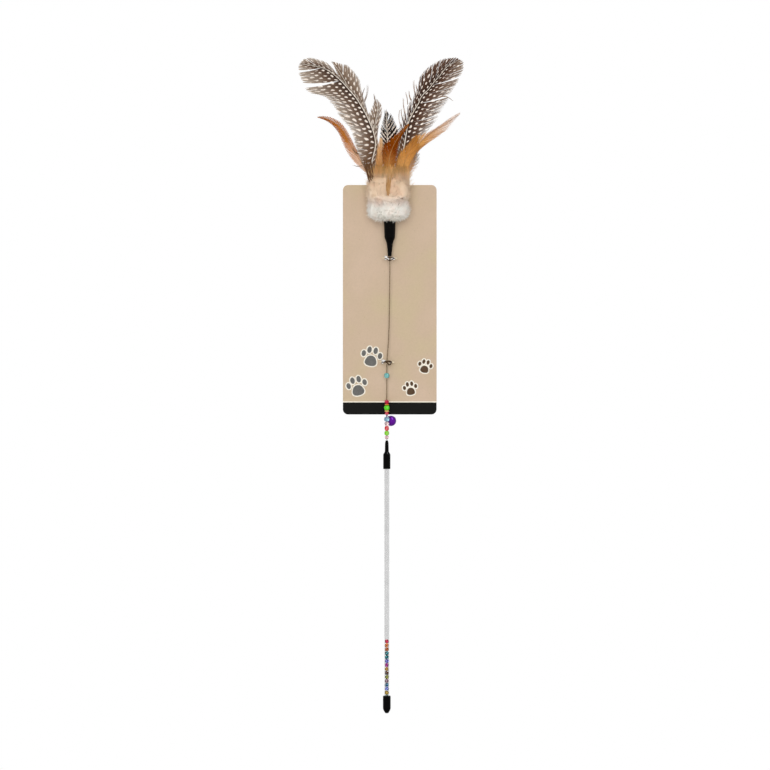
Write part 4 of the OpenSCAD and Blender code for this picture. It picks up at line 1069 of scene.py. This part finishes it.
for node, (diameter, height, code, clear, body, slot) in BEADS.items():
    # Moulded acrylic: even gloss, a slight swirl of paler pigment 4 mm wide, clear beads partly
    # see-through.
    acrylic, tree, shader = finish("moulded_acrylic_" + node, Roughness=0.15, IOR=1.49,
                                   Specular_IOR_Level=0.2, Transmission_Weight=clear)
    place = add(tree, "TexCoord").outputs["Object"]
    swirl = add(tree, "TexNoise", {"Vector": place, "Scale": 260.0, "Distortion": 1.5})
    swirl = add(tree, "MapRange", {"Value": swirl, "From Min": 0.45, "From Max": 0.8, "To Max": 0.3})
    tint = add(tree, "Mix", {0: swirl, 6: linear(code), 7: (1, 1, 1, 1)}, data_type="RGBA")
    tree.links.new(tint.outputs[2], shader.inputs["Base Color"])
    low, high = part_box(node)
    middle = (low.z + high.z) / 2 / MM
    a = np.linspace(-np.pi / 2, np.pi / 2, BEAD_ROWS)
    bulge = HOLE_R + (diameter / 2 - HOLE_R) * np.cos(a) ** BEAD_ROUND
    outer = np.stack([bulge, middle + height / 2 * np.sin(a)], -1)
    inner = [(HOLE_R, middle + height * HOLE_SHARE), (HOLE_R, middle - height * HOLE_SHARE)]
    turned = lathe(np.vstack([outer, inner]), *HANG_XY, BEAD_SIDES)
    piece = make(node + "_acrylic", *turned, acrylic, weld=True)
    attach(piece, body)
    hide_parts(node)

# Bell: a 10 mm jingle bell, two pressed steel cups crimped together, lacquered purple, with a wire
# eye that the string goes through. The lower cup has two crossed slots with round ends.
BELL_R = 5.0
BELL_WALL = 0.5
BELL_EYE = np.array([-2.8, -4.6, -207.26])
BELL_TURN = math.radians(59)
BELL_DROOP = math.radians(32)
BELL_REACH = 9.13
CRIMP_SHARE, CRIMP_WIDTH = 0.035, 0.07
CUP_END = math.pi * 0.985
BELL_SIDES, CUP_ROWS = 72, 22
PETAL_ROWS, PETAL_COLUMNS = 30, 15
SLOT_HALF = 0.5
SLOT_TOP, SLOT_ROUND = math.radians(124), 0.14
SLOT_MEET = 0.68
EYE_R = 0.9
EYE_WIRE_R = 0.25
EYE_SIDES = 12
EYE_FOOT, EYE_HEAD = BELL_R - 0.3, BELL_REACH - 0.6
ARCH_POINTS = 25

# Purple lacquer over steel: deep colour that drifts over 3 mm, and bright reflections.
lacquer = clouded("purple_lacquered_steel", 300.0, "560688", "66089c", Roughness=0.22, Metallic=0.35,
                  Specular_IOR_Level=0.2)

axis = np.array([-math.cos(BELL_DROOP) * math.cos(BELL_TURN), -math.cos(BELL_DROOP) * math.sin(BELL_TURN),
                 math.sin(BELL_DROOP)])
bell_x = unit(np.cross([0, 0, 1.0], axis))
bell_basis = np.stack([bell_x, np.cross(axis, bell_x), axis])
bell_centre = BELL_EYE - axis * BELL_REACH


def in_bell(points):
    """Points given about the bell's middle, with +Z to its eye, brought to their place."""
    return bell_centre + points @ bell_basis


def on_cup(down, turn):
    """Points of a cup at an angle p down from the eye and t round it: r (sin p cos t, sin p sin t, cos p).
    The crimp makes r grow by a share exp(-((p - pi / 2) / width)^2)."""
    r = (BELL_R * (1 + CRIMP_SHARE * np.exp(-((down - np.pi / 2) / CRIMP_WIDTH) ** 2)))[:, None]
    sine, cosine = np.sin(down)[:, None], np.cos(down)[:, None]
    grid = np.stack([r * sine * np.cos(turn), r * sine * np.sin(turn), r * cosine + 0 * turn], -1)
    return in_bell(grid.reshape(-1, 3))


a = np.linspace(0, 2 * np.pi, BELL_SIDES, endpoint=False)[None, :]
cup = on_cup(np.linspace(0, np.pi / 2, CUP_ROWS), a)
upper = make("bell_upper_cup", cup, quads(CUP_ROWS, BELL_SIDES, wrap=True), lacquer, weld=True)
down = np.linspace(np.pi / 2, CUP_END, PETAL_ROWS)
half = SLOT_HALF * np.sqrt(1 - (1 - np.clip((down - SLOT_TOP) / SLOT_ROUND, 0, 1)) ** 2)
edge = np.arcsin(np.clip(half / (BELL_R * np.sin(down)), 0, SLOT_MEET))[:, None]
across = (np.pi / 2 - 2 * edge) * np.linspace(0, 1, PETAL_COLUMNS)
petals = [on_cup(down, quarter * np.pi / 2 + edge + across) for quarter in range(4)]
faces = np.concatenate([quads(PETAL_ROWS, PETAL_COLUMNS) + k * len(petals[0]) for k in range(4)])
lower = make("bell_lower_cup", np.concatenate(petals), faces, lacquer, weld=True)
for cup_piece, node in ((upper, "bell_upper_shell"), (lower, "bell_lower_shell")):
    wall = cup_piece.modifiers.new("pressed_wall", "SOLIDIFY")
    wall.thickness = BELL_WALL * MM
    wall.offset = -1
    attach(cup_piece, "bell")
    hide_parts(node)
t = np.linspace(0, np.pi, ARCH_POINTS)
arch = np.stack([0 * t, EYE_R * np.cos(t), BELL_REACH + EYE_R * np.sin(t)], -1)
legs = [np.array([[0, s * EYE_R, EYE_FOOT], [0, s * EYE_R, EYE_HEAD]]) for s in (1, -1)]
eye_path = in_bell(np.vstack([legs[0], arch, legs[1][::-1]]))
grid = pipe(eye_path, EYE_WIRE_R, EYE_SIDES, tuple(bell_x))
eye = make("bell_eye", grid.reshape(-1, 3), quads(len(grid), EYE_SIDES, wrap=True), lacquer, weld=True)
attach(eye, "bell")

# Polished steel: a bright little ball, its tone drifting over 1 mm.
dress("bell_ball", clouded("polished_steel", 900.0, "a8abae", "cfd1d4", Roughness=0.2, Metallic=1.0))

# Tube: the rod of the wand, drawn in clear polystyrene. The ferrule is pushed over its upper end and
# the cap over the lower one.
TUBE_TOP_Z = -245.7
TUBE_BASE_Z = -486.7
TUBE_R = 2.5
TUBE_BORE_R = 2.0
TUBE_EDGE = 0.2

# Clear polystyrene: glassy and slightly grey, with a faint haze from handling in patches of 11 mm.
clear_tube = clouded("clear_polystyrene", 90.0, "e2e2e2", "e8e8e8", Roughness=0.02, IOR=1.2,
                     Specular_IOR_Level=0.1, Transmission_Weight=1.0)
wall = rounded([(TUBE_BORE_R, TUBE_TOP_Z), (TUBE_R, TUBE_TOP_Z), (TUBE_R, TUBE_BASE_Z),
                (TUBE_BORE_R, TUBE_BASE_Z)], TUBE_EDGE)
tube = make("rod_tube_clear", *lathe(wall, *HANG_XY), clear_tube, weld=True)
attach(tube, "rod")
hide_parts("rod_tube")

# Loose fill: small glossy beads and chips of many colours, poured into the tube before its cap went on,
# which lie loose on the cap. Each slot keeps the record's name, and its colour is the photograph's.
FILL_SEED = 400
CHIP_R = 1.8
CHIP_SQUARE = (0.9, 0.9, 0.45)
CHIP_ROUGH = 0.035
FILL = {
    "dark_grey": "4b4a4a", "teal": "3f6a7c", "purple": "8a1e7c", "sage": "4c7468",
    "gold": "ac8c2c", "lavender": "7884d0", "blue": "24688a", "mauve": "90707e",
    "olive": "84861c", "brown": "4c2a1a", "grey": "b08434", "tan": "940e7c",
    "plum": "6868c0", "indigo": "1c7078", "sea": "1c747c", "rust": "b05a20",
    "magenta": "c47034", "red": "b81640",
}
for number, (slot, code) in enumerate(FILL.items(), 1):
    node = f"fill_bead_{number}"
    rng = np.random.default_rng(FILL_SEED + number)
    # Glossy glass chip: its colour with a lighter fleck or two, up to 2.4 mm wide.
    chip, tree, shader = finish("glass_chip_" + slot, Roughness=0.25, Specular_IOR_Level=0.3)
    place = add(tree, "TexCoord").outputs["Object"]
    fleck = add(tree, "TexNoise", {"Vector": place, "Scale": 420.0})
    fleck = add(tree, "MapRange", {"Value": fleck, "From Min": 0.62, "From Max": 0.8, "To Max": 0.2})
    tint = add(tree, "Mix", {0: fleck, 6: linear(code), 7: linear("f0e8e0")}, data_type="RGBA")
    tree.links.new(tint.outputs[2], shader.inputs["Base Color"])
    low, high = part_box(node)
    middle = (low.z + high.z) / 2 / MM
    lump = core((*HANG_XY, middle), [CHIP_R] * 3, CHIP_SQUARE, CHIP_ROUGH, rng, 0.0)
    piece = make(node + "_chip", *lump, chip, weld=True)
    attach(piece, "loose_fill")
    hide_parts(node)
